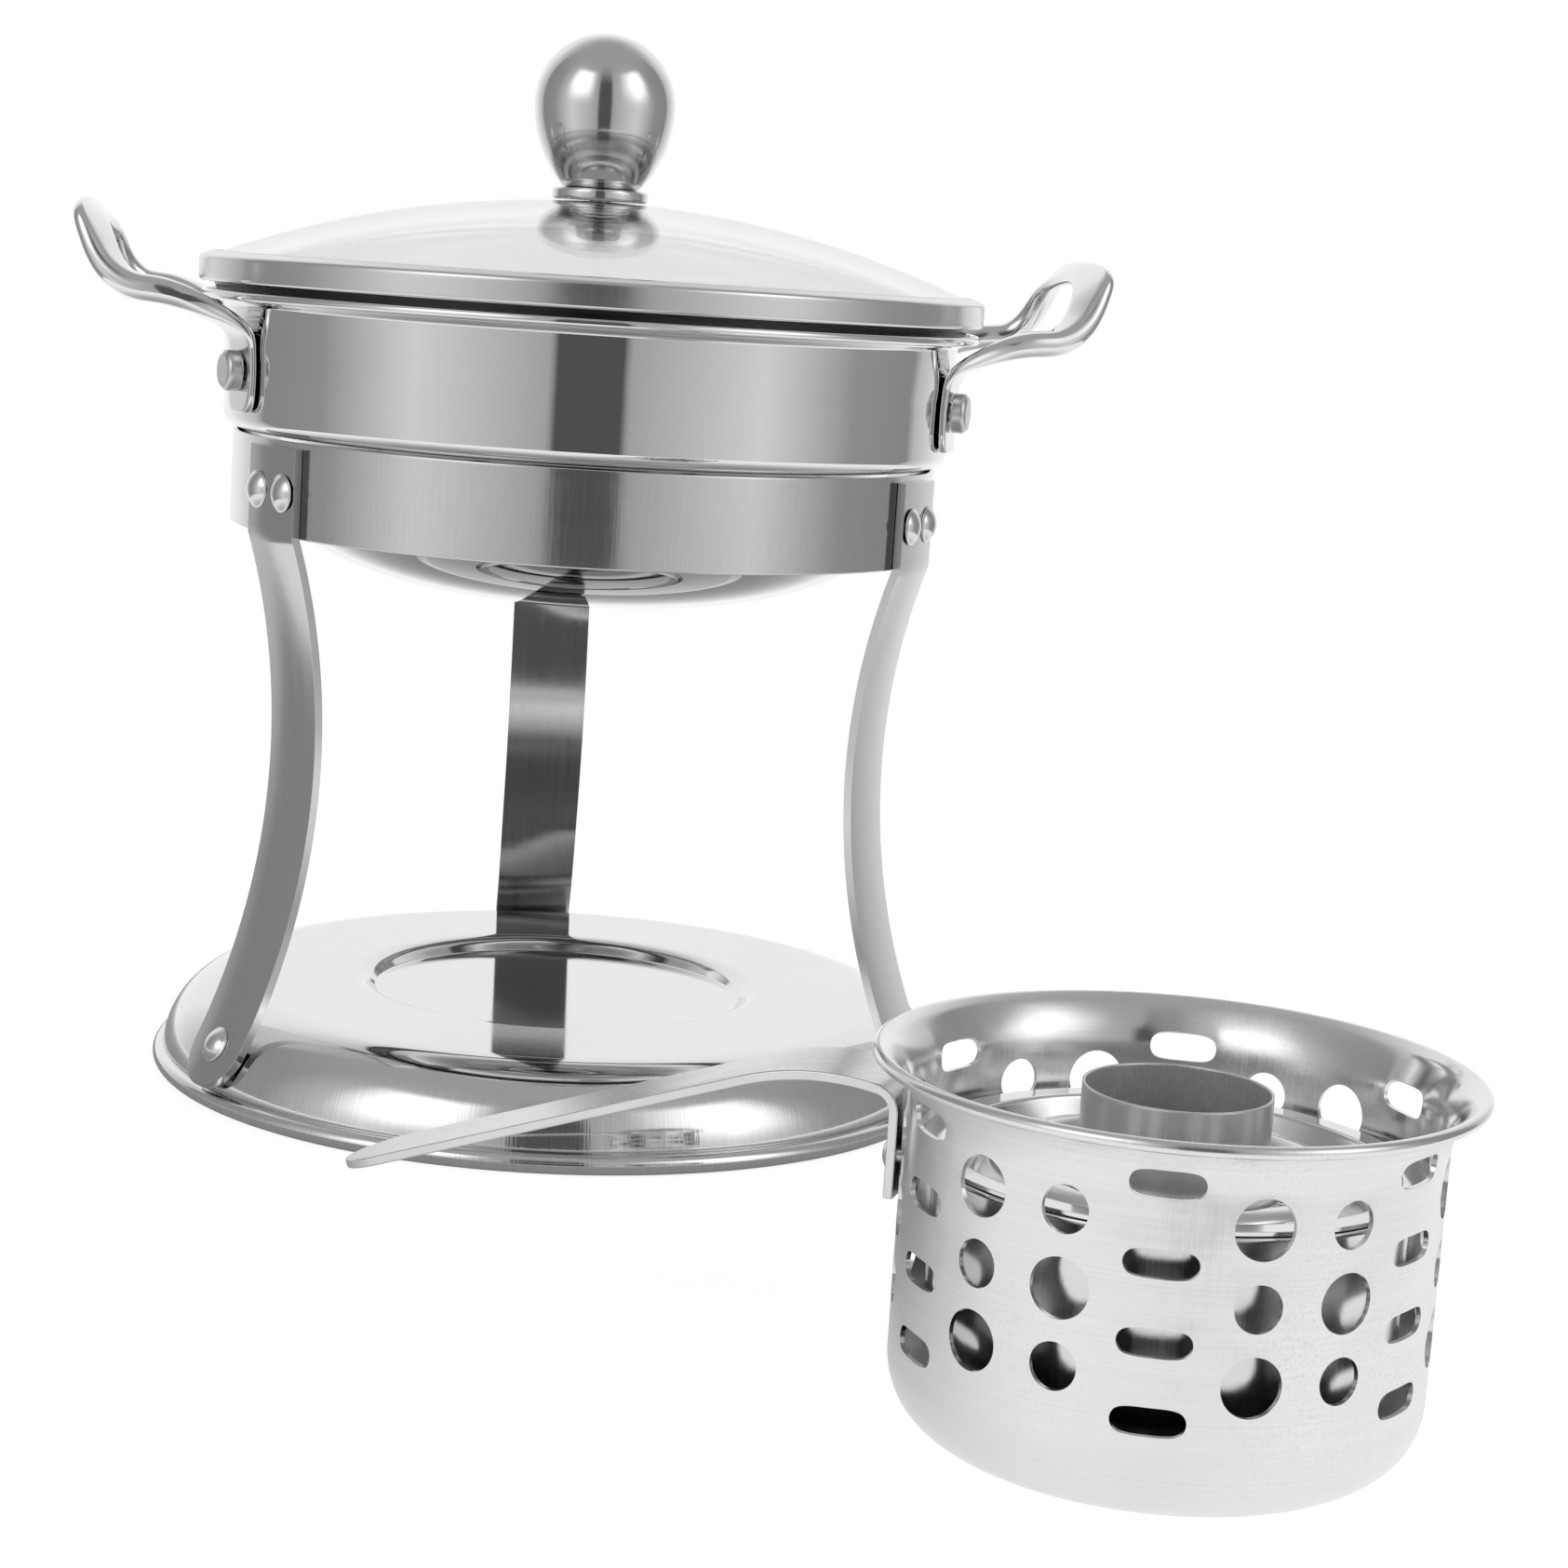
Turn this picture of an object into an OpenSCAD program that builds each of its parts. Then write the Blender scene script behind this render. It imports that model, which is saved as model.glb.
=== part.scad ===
// Fondue pot set: a spirit burner, a stand on three strap legs, a shouldered pot and a glass lid.
// Millimetres, +Z up. The origin is on the stand's axis at the table top.
// The burner stands on the table in front of the stand, as it does before it is lit.

/* [Sheet] */
// Thickness of the spun sheet of the base, the ring and the pot
sheet_t = 1; // [0.8:0.1:1.4]
// Gap left between pieces that lift apart
lift_gap = 0.3; // [0.2:0.05:0.5]
// Radial play round a rivet or a screw
rivet_play = 0.05; // [0.03:0.01:0.1]

/* [Pot] */
// Outside diameter of the straight wall
pot_d = 172.6; // [160:0.2:190]
// Height of the straight wall, from the shoulder to the flange
pot_wall_h = 26.4; // [24:0.2:36]
// Radius of the bend between the wall and the shoulder
pot_bend_r = 3; // [2:0.1:4]
// Slope of the shoulder that sits on the ring
shoulder_slope = 30; // [20:1:40]
// Width of the shoulder, from the wall in to the neck of the bowl
shoulder_w = 8.3; // [7:0.1:12]
// Depth of the bowl below the shoulder
bowl_depth = 34.5; // [28:0.5:40]
// Fullness of the bowl's profile, where 2 is a plain ellipse
bowl_fullness = 2.5; // [2:0.1:3.2]
// Width of the flange round the mouth
flange_w = 6.2; // [5:0.1:8]
// Radius of the curled edge of the flange
flange_bead_r = 1.15; // [0.9:0.05:1.4]

/* [Pot handles] */
// Angle between a handle's middle and each of its feet
handle_foot_angle = 21; // [18:0.5:23]
// Width of a foot
handle_foot_w = 14.5; // [12:0.5:16]
// Height of a foot below the flange
handle_foot_h = 25.5; // [23:0.5:27]
// Thickness of the handle's flat feet
handle_foot_t = 1.8; // [1.4:0.1:2.2]
// Height of the rolled arms
handle_arm_t = 5.6; // [4.5:0.1:6]
// Reach of the grip from the pot's wall
handle_reach = 33; // [29:0.5:40]
// Rise of the grip above the underside of the flange
handle_rise = 20.5; // [17:0.5:26]
// Width of the grip
handle_grip_w = 56; // [50:1:60]

/* [Lid] */
// Overhang of the hoop past the flange's edge
hoop_overhang = 0.5; // [0.2:0.1:1.5]
// Thickness of the hoop's sheet
hoop_t = 0.8; // [0.6:0.1:1]
// Height of the step that holds the hoop off the flange
hoop_step = 2.2; // [1.6:0.1:3]
// Depth of the lip that goes inside the pot
hoop_lip_h = 4; // [3:0.5:8]
// Thickness of the glass
glass_t = 4; // [3:0.5:5]
// Rise of the glass from its edge to its crown
glass_rise = 18.7; // [14:0.1:26]

/* [Knob] */
// Diameter of the bulb
knob_d = 33.2; // [28:0.2:38]
// Height of the bulb below its widest place
knob_taper_h = 19.5; // [16:0.5:22]
// Diameter of the bulb's foot
knob_foot_d = 17.6; // [15:0.2:20]
// Diameter of the collar between the bulb and the glass
collar_d = 22.8; // [20:0.2:26]
// Height of the collar
collar_h = 2.9; // [2:0.1:4]
// Diameter of the screw's shank
screw_d = 5; // [4:0.5:6]
// Diameter of the screw's head
screw_head_d = 11; // [9:0.5:12]
// Diameter of the washer under the glass
washer_d = 15; // [13:0.5:18]

/* [Stand] */
// Height of the ring's top edge above the table
stand_h = 153; // [140:1:175]
// Height of the ring
ring_h = 21.5; // [18:0.5:26]
// How far the ring stands back from the pot's wall
ring_setback = 2.5; // [1.5:0.1:3.5]
// Width of a leg's strap
leg_w = 20; // [18:0.5:24]
// Thickness of a leg's strap
leg_t = 2; // [1.6:0.1:2.5]
// Radius of the legs' inward sweep
leg_sweep_r = 150; // [140:1:190]
// Height of the legs' waist above the table
leg_waist_z = 83; // [78:1:88]
// Gap between the top of a leg and the ring's edge
leg_top_gap = 1.4; // [1:0.1:3]
// Height of the foot rivets above the table
foot_rivet_z = 14.2; // [13:0.2:17]
// Diameter of the rivet heads on the ring
ring_rivet_d = 8.6; // [7.6:0.1:8.8]
// Distance between the two rivets at the top of a leg
ring_rivet_gap = 11; // [10:0.1:11]
// Diameter of the rivet heads on the feet
foot_rivet_d = 8.4; // [7:0.1:10]
// Radius of the base's rounded outer slope
base_slope_r = 14.5; // [12:0.5:16]
// Radius of the curled rim that the base stands on
base_bead_r = 2.2; // [1.8:0.1:2.6]
// How far the curled rim stands out past the slope
base_rim_out = 3.6; // [2.8:0.1:4.2]
// Depth of the seat for the burner
recess_depth = 3.2; // [2.4:0.1:4]

/* [Burner] */
// Place of the burner's axis beside the stand, along X
burner_x = 87; // [60:1:120]
// Place of the burner's axis in front of the stand, along Y
burner_y = -246; // [-300:1:-215]
// Direction of the burner's handle, in degrees from +X
burner_turn = 153; // [130:1:190]
// Outside diameter of the cup's wall
cup_d = 94; // [86:0.5:100]
// Height of the cup
cup_h = 68; // [64:0.5:76]
// Radius of the cup's bottom bend
cup_bend_r = 12; // [9:0.5:14]
// Thickness of the cup's sheet
cup_t = 0.9; // [0.7:0.1:1.2]
// Width of the cup's flared rim
cup_flare = 6.5; // [4:0.5:9]
// Columns of holes round the cup, a multiple of three
cup_columns = 18; // [15:3:18]
// Distance between the rows of holes
hole_pitch = 13.2; // [12.4:0.1:13.4]
// Distance of the first row of slots below the rim
hole_first = 9; // [8:0.1:10]
// Diameter of the large round holes
hole_large_d = 10.4; // [8:0.1:11]
// Diameter of the small round holes
hole_small_d = 8.2; // [6:0.1:9]
// Length of the long slots
slot_len = 12.6; // [9:0.1:13]
// Height of the long slots
slot_h = 4.8; // [3.6:0.1:5.4]
// Depth of the fuel bowl's rim below the cup's rim
bowl_rim_drop = 18; // [17:0.5:22]
// Gap between the cup's wall and the fuel bowl's rim
bowl_rim_gap = 2.4; // [1.5:0.1:3]
// Radius of the fuel bowl's bottom bend
fuel_bend_r = 24; // [16:1:26]
// Thickness of the sheet of the fuel bowl and the head
head_t = 0.8; // [0.6:0.1:1]
// Radius of the chimney
chimney_r = 16.6; // [14:0.1:17.4]
// Height of the chimney above the slotted floor
chimney_h = 17; // [12:0.5:18]
// Slots in the head round the chimney
head_slots = 18; // [12:1:18]
// Width of a slot in the head
head_slot_w = 4.2; // [3:0.1:4.4]
// Distance between the wires of the gauze
gauze_pitch = 5; // [4.8:0.1:7]
// Thickness of the gauze's wires
gauze_wire = 0.8; // [0.6:0.1:1.1]
// Width of the burner handle's strap
strap_w = 20; // [18:0.5:22]
// Thickness of the burner handle's strap
strap_t = 1.8; // [1.4:0.1:2.4]
// Length of the handle's straight grip
strap_grip = 85; // [60:1:95]
// Slope of the handle's straight grip
strap_slope = 20; // [12:1:26]

/* [Hidden] */
$fn = 96;
// Length of cutters that have to pass right through a sheet
through = 12;
steel = "silver";
strap_steel = "darkgray";

// Stand: the ring carries the pot's shoulder, and the legs run from the ring to the base
pot_r = pot_d / 2;
ring_r = pot_r - ring_setback;
ring_bottom = stand_h - ring_h;
leg_angles = [90, 210, 330];
leg_face = ring_r + rivet_play + leg_t;
leg_centre = [leg_face + sqrt(pow(leg_sweep_r, 2) - pow(ring_bottom - leg_waist_z, 2)), leg_waist_z];
leg_top_turn = asin((ring_bottom - leg_waist_z) / leg_sweep_r);
// Turn along the sweep, below the waist, at which the foot rivet sits
foot_turn = asin((leg_waist_z - foot_rivet_z) / (leg_sweep_r + leg_t / 2));
foot_end_turn = foot_turn + asin((leg_w / 2 + leg_t) / leg_sweep_r);
foot_point = leg_centre - (leg_sweep_r + leg_t / 2) * [cos(foot_turn), sin(foot_turn)];
ring_rivet_shank = 2;
foot_rivet_shank = 2.2;
rivet_dome = 2;
rivet_tail = 1.1;

// Base: its outer slope lies against the feet
slope_reach = leg_sweep_r + leg_t + rivet_play + base_slope_r;
slope_centre = leg_centre - slope_reach * [cos(foot_turn), sin(foot_turn)];
base_top = slope_centre.y + base_slope_r;
base_floor = base_top - recess_depth;
base_r = slope_centre.x + base_slope_r + base_rim_out;
rim_flat = 0.2;
recess_bend = 2;
recess_wall = 55;
seat_gap = 1.1;
cup_r = cup_d / 2;
cup_foot_r = cup_r - cup_bend_r;
// The seat is as wide as the cup is where it passes the seat's edge
recess_r = cup_foot_r + sqrt(pow(cup_bend_r, 2) - pow(cup_bend_r - recess_depth, 2)) + seat_gap;
recess_run = (recess_depth - 2 * recess_bend * (1 - cos(recess_wall))) / tan(recess_wall)
    + 2 * recess_bend * sin(recess_wall);

// Pot: the shoulder clears the ring's inner top edge by the lift gap
ring_inner_r = ring_r - sheet_t;
neck_r = pot_r - shoulder_w;
neck_z = stand_h + lift_gap - (ring_inner_r - neck_r) * tan(shoulder_slope);
pot_bend_z = neck_z + (shoulder_w - pot_bend_r * (1 - sin(shoulder_slope))) * tan(shoulder_slope)
    + pot_bend_r * cos(shoulder_slope);
flange_z = pot_bend_z + pot_wall_h;
flange_bend = 2;
flange_r = pot_r + flange_w;
flange_top = flange_z + sheet_t;

// Handles
handle_foot_half = asin(handle_foot_w / 2 / pot_r);
foot_middle_r = pot_r / cos(handle_foot_half) + handle_foot_t / 2 + 0.2;
foot_low_z = flange_z - handle_foot_h;
handle_rivet_z = foot_low_z + 9.5;
handle_rivet_d = 9.2;
handle_rivet_h = 3.4;
handle_rivet_shank = 2.2;

// Lid: the hoop's step rests on the flange, and its channel holds the edge of the glass
hoop_r = flange_r + hoop_overhang;
hoop_seat = flange_top + lift_gap;
hoop_floor = hoop_seat + hoop_step;
hoop_lip_r = pot_r - sheet_t - 0.7;
glass_play = 0.15;
glass_r = hoop_r - hoop_t - 0.6;
glass_dome_r = (pow(glass_r, 2) + pow(glass_rise, 2)) / (2 * glass_rise);
glass_edge_bottom = hoop_floor + hoop_t + glass_play;
glass_centre_z = glass_edge_bottom - sqrt(pow(glass_dome_r - glass_t, 2) - pow(glass_r, 2));
glass_crown = glass_centre_z + glass_dome_r;
glass_under = glass_crown - glass_t;

// Knob, on the crown of the glass
knob_r = knob_d / 2;
knob_z = glass_crown + collar_h + knob_taper_h;
knob_swell_r = (pow(knob_r - knob_foot_d / 2, 2) + pow(knob_taper_h, 2)) / (2 * (knob_r - knob_foot_d / 2));
screw_depth = 13;
washer_t = 1;
screw_head_h = 3.4;
collar_chamfer = 0.8;

// Burner cup, with its own axis at burner_x and burner_y
flare_bend = 10;
flare_start = cup_h - 11;
cup_bead_r = 1.1;
cup_rim_r = cup_r + cup_flare;
cup_inner_r = cup_r - cup_t;
column_step = 360 / cup_columns;

// Fuel bowl, gauze, head and chimney, stacked inside the cup
fuel_floor = cup_t + lift_gap;
fuel_rim_r = cup_inner_r - bowl_rim_gap;
fuel_rim_w = 2.4;
fuel_r = fuel_rim_r - fuel_rim_w;
fuel_inner_r = fuel_r - head_t;
fuel_rim_z = cup_h - bowl_rim_drop;
head_z = fuel_rim_z + lift_gap + head_t;
head_dish = 5;
head_floor = head_z - head_dish;
slot_inner_r = chimney_r + 2.9;
slot_outer_r = slot_inner_r + 6;
ridge_r = slot_outer_r + 4;
ridge_w = 7;
dish_r = ridge_r + 5;
head_wall_r = fuel_inner_r - lift_gap - 2 * head_t;
// The gauze is tacked to the underside of the head's moat
moat_floor = head_floor - 1.2;
gauze_z = moat_floor - head_t - rivet_play - gauze_wire;
gauze_r = head_wall_r;

// Burner handle: a tab on the cup's wall, an arch under the rim, and a straight grip
tab_z = 38;
tab_bend_r = 5;
tab_bend_z = cup_h - 14.5;
arch_r = 50;
arch_rise = 10;
arch_step = 2;
tab_rivet_z = tab_z + 7.3;
tab_rivet_gap = 11;
tab_rivet_d = 7;
tab_rivet_shank = 1.6;
tab_face = cup_r + rivet_play;

// Points on an arc about a centre
function arc(c, r, a0, a1, n = 12) =
    [for (i = [0:n]) let (a = a0 + (a1 - a0) * i / n) c + r * [cos(a), sin(a)]];
function reversed(p) = [for (i = [len(p) - 1:-1:0]) p[i]];
function left_of(a, b) = [a.y - b.y, b.x - a.x] / norm(b - a);
// The path moved sideways by t, to the left of its direction
function shifted(p, t) = [for (i = [0:len(p) - 1])
    let (before = left_of(p[max(i - 1, 0)], p[max(i, 1)]),
         after = left_of(p[min(i, len(p) - 2)], p[min(i + 1, len(p) - 1)]),
         both = before + after)
    p[i] + 2 * t * both / (both * both)];

// A sheet of thickness t that follows a path, kept to one side of the axis
module sheet(path, t) {
    other = [for (q = shifted(path, t)) [max(q.x, 0), q.y]];
    polygon(t > 0 ? concat(path, reversed(other)) : concat(other, reversed(path)));
}

// A rivet along +Z: its head stands on z = 0, and its shank and tail lie below
module rivet(head_d, head_h, shank_r, grip, tail_d, tail_h) {
    dome_r = (pow(head_d / 2, 2) + pow(head_h, 2)) / (2 * head_h);
    reach = asin(head_d / 2 / dome_r);
    rotate_extrude()
        polygon(concat(
            arc([0, head_h - dome_r], dome_r, 90, 90 - reach, 8),
            [[shank_r, 0], [shank_r, -grip], [tail_d / 2, -grip], [tail_d / 2 - tail_h / 2, -grip - tail_h],
             [0, -grip - tail_h]]));
}

// Frame of a leg's foot: +Z points out of the strap, +X runs down it
module at_foot() {
    translate([foot_point.x, 0, foot_point.y])
        rotate([0, 90 - foot_turn, 0])
            children();
}

// Frame of the two rivets at a leg's top: +Z points out of the ring
module at_leg_top() {
    for (side = [-1, 1])
        translate([leg_face, side * ring_rivet_gap / 2, (stand_h - leg_top_gap + ring_bottom) / 2])
            rotate([0, 90, 0])
                children();
}

module base_plate() {
    top_path = concat(
        [[0, base_floor]],
        arc([recess_r, base_floor + recess_bend], recess_bend, -90, recess_wall - 90, 5),
        arc([recess_r + recess_run, base_top - recess_bend], recess_bend, 90 + recess_wall, 90, 5),
        arc(slope_centre, base_slope_r, 90, 0, 14),
        [[slope_centre.x + base_slope_r, 2 * base_bead_r], [base_r - base_bead_r, base_bead_r - rim_flat]]);
    color(steel)
        difference() {
            rotate_extrude() {
                sheet(top_path, -sheet_t);
                translate([base_r - base_bead_r, base_bead_r - rim_flat]) circle(base_bead_r);
            }
            // The rim is ground flat where it stands on the table
            translate([0, 0, -through]) cylinder(r = base_r + through, h = through);
            for (a = leg_angles)
                rotate(a) at_foot() cylinder(r = foot_rivet_shank + rivet_play, h = 2 * through, center = true);
        }
}

// A strap leg, flat on the ring, swept in to its waist and out again to its foot
module leg(angle) {
    face_path = concat(
        [[leg_face, stand_h - leg_top_gap]],
        arc(leg_centre, leg_sweep_r, 180 - leg_top_turn, 180 + foot_end_turn, 28));
    color(strap_steel)
        rotate(angle)
            difference() {
                rotate([90, 0, 0]) linear_extrude(leg_w, center = true) sheet(face_path, -leg_t);
                at_leg_top() cylinder(r = ring_rivet_shank + rivet_play, h = through, center = true);
                at_foot() {
                    cylinder(r = foot_rivet_shank + rivet_play, h = through, center = true);
                    difference() {
                        translate([0, -leg_w, -through / 2]) cube([leg_w, 2 * leg_w, through]);
                        cylinder(d = leg_w, h = 2 * through, center = true);
                    }
                }
            }
}

module leg_left() { leg(leg_angles[1]); }
module leg_right() { leg(leg_angles[2]); }
module leg_rear() { leg(leg_angles[0]); }

module leg_foot_rivets() {
    // The head bridges the strap's hollow outer face
    hollow = pow(foot_rivet_d / 2, 2) / (2 * leg_sweep_r);
    color(steel)
        for (a = leg_angles)
            rotate(a) at_foot()
                translate([0, 0, leg_t / 2 + hollow + rivet_play])
                    rivet(foot_rivet_d, rivet_dome, foot_rivet_shank, hollow + leg_t + sheet_t + 0.7,
                        foot_rivet_d - 2, rivet_tail);
}

module ring_band() {
    color(steel)
        difference() {
            rotate_extrude() translate([ring_inner_r, ring_bottom]) square([sheet_t, ring_h]);
            for (a = leg_angles)
                rotate(a) at_leg_top() cylinder(r = ring_rivet_shank + rivet_play, h = through, center = true);
        }
}

module leg_top_rivets() {
    // The tails clear the ring's curved inside
    tail_d = ring_rivet_d - 2.4;
    tail_edge = ring_rivet_gap / 2 + tail_d / 2;
    grip = leg_face - sqrt(pow(ring_inner_r, 2) - pow(tail_edge, 2)) + 2 * rivet_play;
    color(steel)
        for (a = leg_angles)
            rotate(a) at_leg_top()
                translate([0, 0, rivet_play])
                    rivet(ring_rivet_d, rivet_dome, ring_rivet_shank, grip, tail_d, rivet_tail);
}

// The bowl's quarter profile, a superellipse from its bottom to the neck
function bowl_curve(n = 18) = [for (i = [0:n])
    let (a = 90 - 90 * i / n)
    [neck_r * pow(cos(a), 2 / bowl_fullness), neck_z - bowl_depth * pow(sin(a), 2 / bowl_fullness)]];

module pot_body() {
    outer_path = concat(
        bowl_curve(),
        arc([pot_r - pot_bend_r, pot_bend_z], pot_bend_r, shoulder_slope - 90, 0, 6),
        arc([pot_r + flange_bend, flange_z - flange_bend], flange_bend, 180, 90, 6),
        [[flange_r - flange_bead_r, flange_z]]);
    color(steel)
        difference() {
            rotate_extrude() {
                sheet(outer_path, sheet_t);
                translate([flange_r - flange_bead_r, flange_z + 0.8 * sheet_t]) circle(flange_bead_r);
            }
            for (turn = [0, 180], side = [-1, 1])
                rotate(turn + side * handle_foot_angle) translate([pot_r, 0, handle_rivet_z]) rotate([0, 90, 0])
                    cylinder(r = handle_rivet_shank + rivet_play, h = through, center = true);
        }
}

// A point on the pot's wall, at an angle, a radius and a height
function on_wall(a, r, z) = [r * cos(a), r * sin(a), z];
// One half of a handle: stations of its outer edge, its inner edge and its thickness
function handle_stations() =
    let (near = -handle_foot_angle - handle_foot_half, far = -handle_foot_angle + handle_foot_half,
         tip_near = -handle_foot_angle - 0.55 * handle_foot_half,
         tip_far = -handle_foot_angle + 0.55 * handle_foot_half,
         r = foot_middle_r, grip = handle_grip_w / 2, x = pot_r + handle_reach, top = flange_z + handle_rise,
         t = handle_foot_t, arm = handle_arm_t)
    [[on_wall(tip_near, r, foot_low_z), on_wall(tip_far, r, foot_low_z), t],
     [on_wall(near, r, foot_low_z + 3), on_wall(far, r, foot_low_z + 3), t],
     [on_wall(near, r, flange_z - 12), on_wall(far, r, flange_z - 12), t],
     [on_wall(near, r + 2, flange_z - 6.5), on_wall(far, r + 2, flange_z - 6.5), t + 0.8],
     [[pot_r + 5, -grip - 8, flange_z - 2.6], [pot_r + 7, -grip + 4, flange_z - 3.2], 0.84 * arm],
     [[x - 20, -grip - 7.7, flange_z + 0.6], [x - 19, -grip + 4.5, flange_z + 0.6], arm],
     [[x - 11.8, -grip - 6.3, flange_z + 2.3], [x - 13, -grip + 4.7, flange_z + 2.1], arm],
     [[x - 5, -grip - 4, flange_z + 7], [x - 9.3, -grip + 5.5, flange_z + 6.2], 0.92 * arm],
     [[x - 0.9, -grip - 1, top - 6.7], [x - 7.1, -grip + 8.5, top - 9], 0.75 * arm],
     [[x + 0.6, -grip + 4.5, top - 1.5], [x - 5.5, -grip + 16, top - 5.8], 0.58 * arm],
     [[x, 0, top], [x - 4.7, 0, top - 4.8], 0.55 * arm]];
// The other half is its mirror image
function mirrored(s) = [[s[0].x, -s[0].y, s[0].z], [s[1].x, -s[1].y, s[1].z], s[2]];
function handle_loop() =
    let (half = handle_stations())
    concat(half, [for (i = [len(half) - 2:-1:0]) mirrored(half[i])]);
// A value on a smooth curve through the stations
function smooth(a, b, c, d, t) =
    0.5 * (2 * b + (c - a) * t + (2 * a - 5 * b + 4 * c - d) * t * t + (3 * b - a - 3 * c + d) * t * t * t);
function station(s, i, t) =
    let (last = len(s) - 1, a = s[max(i - 1, 0)], b = s[i], c = s[min(i + 1, last)], d = s[min(i + 2, last)])
    [for (k = [0:2]) smooth(a[k], b[k], c[k], d[k], t)];
// A flat section with round edges between the two edges, square to the direction of travel
function section(s, travel, n = 6) =
    let (across = (s[1] - s[0]) / norm(s[1] - s[0]), face = cross(travel, across),
         up = face / norm(face), r = s[2] / 2)
    [for (k = [0:2 * n - 1])
        let (end = floor(k / n), a = 90 + 180 * end + 180 * (k - end * n) / (n - 1))
        s[end] + r * ((end == 0 ? 1 : -1) * across + cos(a) * across + sin(a) * up)];

// A stamped loop handle: two flat feet, rolled arms and a grip that leans out as it rises, as one loft
module handle_loft(steps = 3) {
    stations = handle_loop();
    line = concat(
        [for (i = [0:len(stations) - 2], j = [0:steps - 1]) station(stations, i, j / steps)],
        [stations[len(stations) - 1]]);
    rings = len(line);
    middle = [for (s = line) (s[0] + s[1]) / 2];
    sides = len(section(line[0], middle[1] - middle[0]));
    points = [for (i = [0:rings - 1])
        each section(line[i], middle[min(i + 1, rings - 1)] - middle[max(i - 1, 0)])];
    walls = [for (i = [0:rings - 2], k = [0:sides - 1])
        let (a = i * sides + k, b = i * sides + (k + 1) % sides)
        each [[a, b, b + sides], [a, b + sides, a + sides]]];
    first_end = [for (k = [sides - 1:-1:0]) k];
    last_end = [for (k = [0:sides - 1]) (rings - 1) * sides + k];
    polyhedron(points, concat(walls, [first_end, last_end]));
}

module handle(turn) {
    color(steel)
        rotate(turn)
            difference() {
                handle_loft();
                for (side = [-1, 1])
                    rotate(side * handle_foot_angle) translate([pot_r, 0, handle_rivet_z]) rotate([0, 90, 0])
                        cylinder(r = handle_rivet_shank + rivet_play, h = through, center = true);
            }
}

module handle_left() { handle(180); }
module handle_right() { handle(0); }

// A flat-headed rivet through each foot of a handle
module handle_rivets(turn) {
    seat = foot_middle_r * cos(handle_foot_half) + handle_foot_t / 2 + 0.35;
    tail_d = 7;
    inside = sqrt(pow(pot_r - sheet_t, 2) - pow(tail_d / 2, 2)) - rivet_play;
    head_r = handle_rivet_d / 2;
    edge = 0.9;
    tail_h = 1.2;
    color(steel)
        for (side = [-1, 1])
            rotate(turn + side * handle_foot_angle) translate([0, 0, handle_rivet_z]) rotate([0, 90, 0])
                rotate_extrude()
                    polygon([[0, inside - tail_h],
                        [tail_d / 2 - tail_h / 2, inside - tail_h], [tail_d / 2, inside],
                        [handle_rivet_shank, inside], [handle_rivet_shank, seat], [head_r, seat],
                        [head_r, seat + handle_rivet_h - edge], [head_r - edge, seat + handle_rivet_h],
                        [0, seat + handle_rivet_h]]);
}

module handle_rivets_left() { handle_rivets(180); }
module handle_rivets_right() { handle_rivets(0); }

module lid_hoop() {
    bend = 1;
    step_r = pot_r + flange_bend + 0.4;
    // The folded edge follows the slope of the glass
    edge_slope = asin(glass_r / glass_dome_r);
    fold = glass_dome_r + glass_play + hoop_t;
    fold_end = edge_slope - 0.5;
    fold_start = asin((hoop_r - bend) / fold);
    outer_path = concat(
        [[hoop_lip_r, hoop_seat - hoop_lip_h]],
        arc([hoop_lip_r + bend, hoop_seat - bend], bend, 180, 90, 4),
        [[step_r, hoop_seat], [step_r + 0.8, hoop_floor]],
        arc([hoop_r - bend, hoop_floor + bend], bend, -90, 0, 5),
        [[hoop_r, glass_centre_z + fold * cos(fold_start) - bend]],
        arc([0, glass_centre_z], fold, 90 - fold_start, 90 - fold_end, 3));
    color(steel) rotate_extrude() sheet(outer_path, hoop_t);
}

module lid_glass() {
    color("azure", 0.4)
        difference() {
            intersection() {
                translate([0, 0, glass_centre_z]) sphere(glass_dome_r);
                cylinder(r = glass_r, h = glass_crown + through);
            }
            translate([0, 0, glass_centre_z]) sphere(glass_dome_r - glass_t);
            cylinder(d = screw_d + 4 * rivet_play, h = glass_crown + through);
        }
}

module knob_washer() {
    color(strap_steel)
        translate([0, 0, glass_under - washer_t - 0.2])
            difference() {
                cylinder(d = washer_d, h = washer_t);
                translate([0, 0, -through]) cylinder(d = screw_d + 2 * rivet_play, h = 2 * through);
            }
}

module knob_screw() {
    seat = glass_under - washer_t - 0.2;
    top = glass_crown + collar_h + screw_depth;
    edge = 0.8;
    head_r = screw_head_d / 2;
    color(steel)
        rotate_extrude()
            polygon([[0, seat - screw_head_h],
                [head_r - edge, seat - screw_head_h], [head_r, seat - screw_head_h + edge],
                [head_r, seat - rivet_play], [screw_d / 2, seat - rivet_play], [screw_d / 2, top - edge],
                [screw_d / 2 - edge, top], [0, top]]);
}

module knob_collar() {
    r = collar_d / 2;
    color(steel)
        translate([0, 0, glass_crown + rivet_play])
            difference() {
                rotate_extrude()
                    polygon([[0, 0], [r - collar_chamfer, 0], [r, collar_chamfer],
                        [r, collar_h - 2 * rivet_play - collar_chamfer],
                        [r - collar_chamfer, collar_h - 2 * rivet_play], [0, collar_h - 2 * rivet_play]]);
                translate([0, 0, -through]) cylinder(d = screw_d + 2 * rivet_play, h = 2 * through);
            }
}

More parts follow.
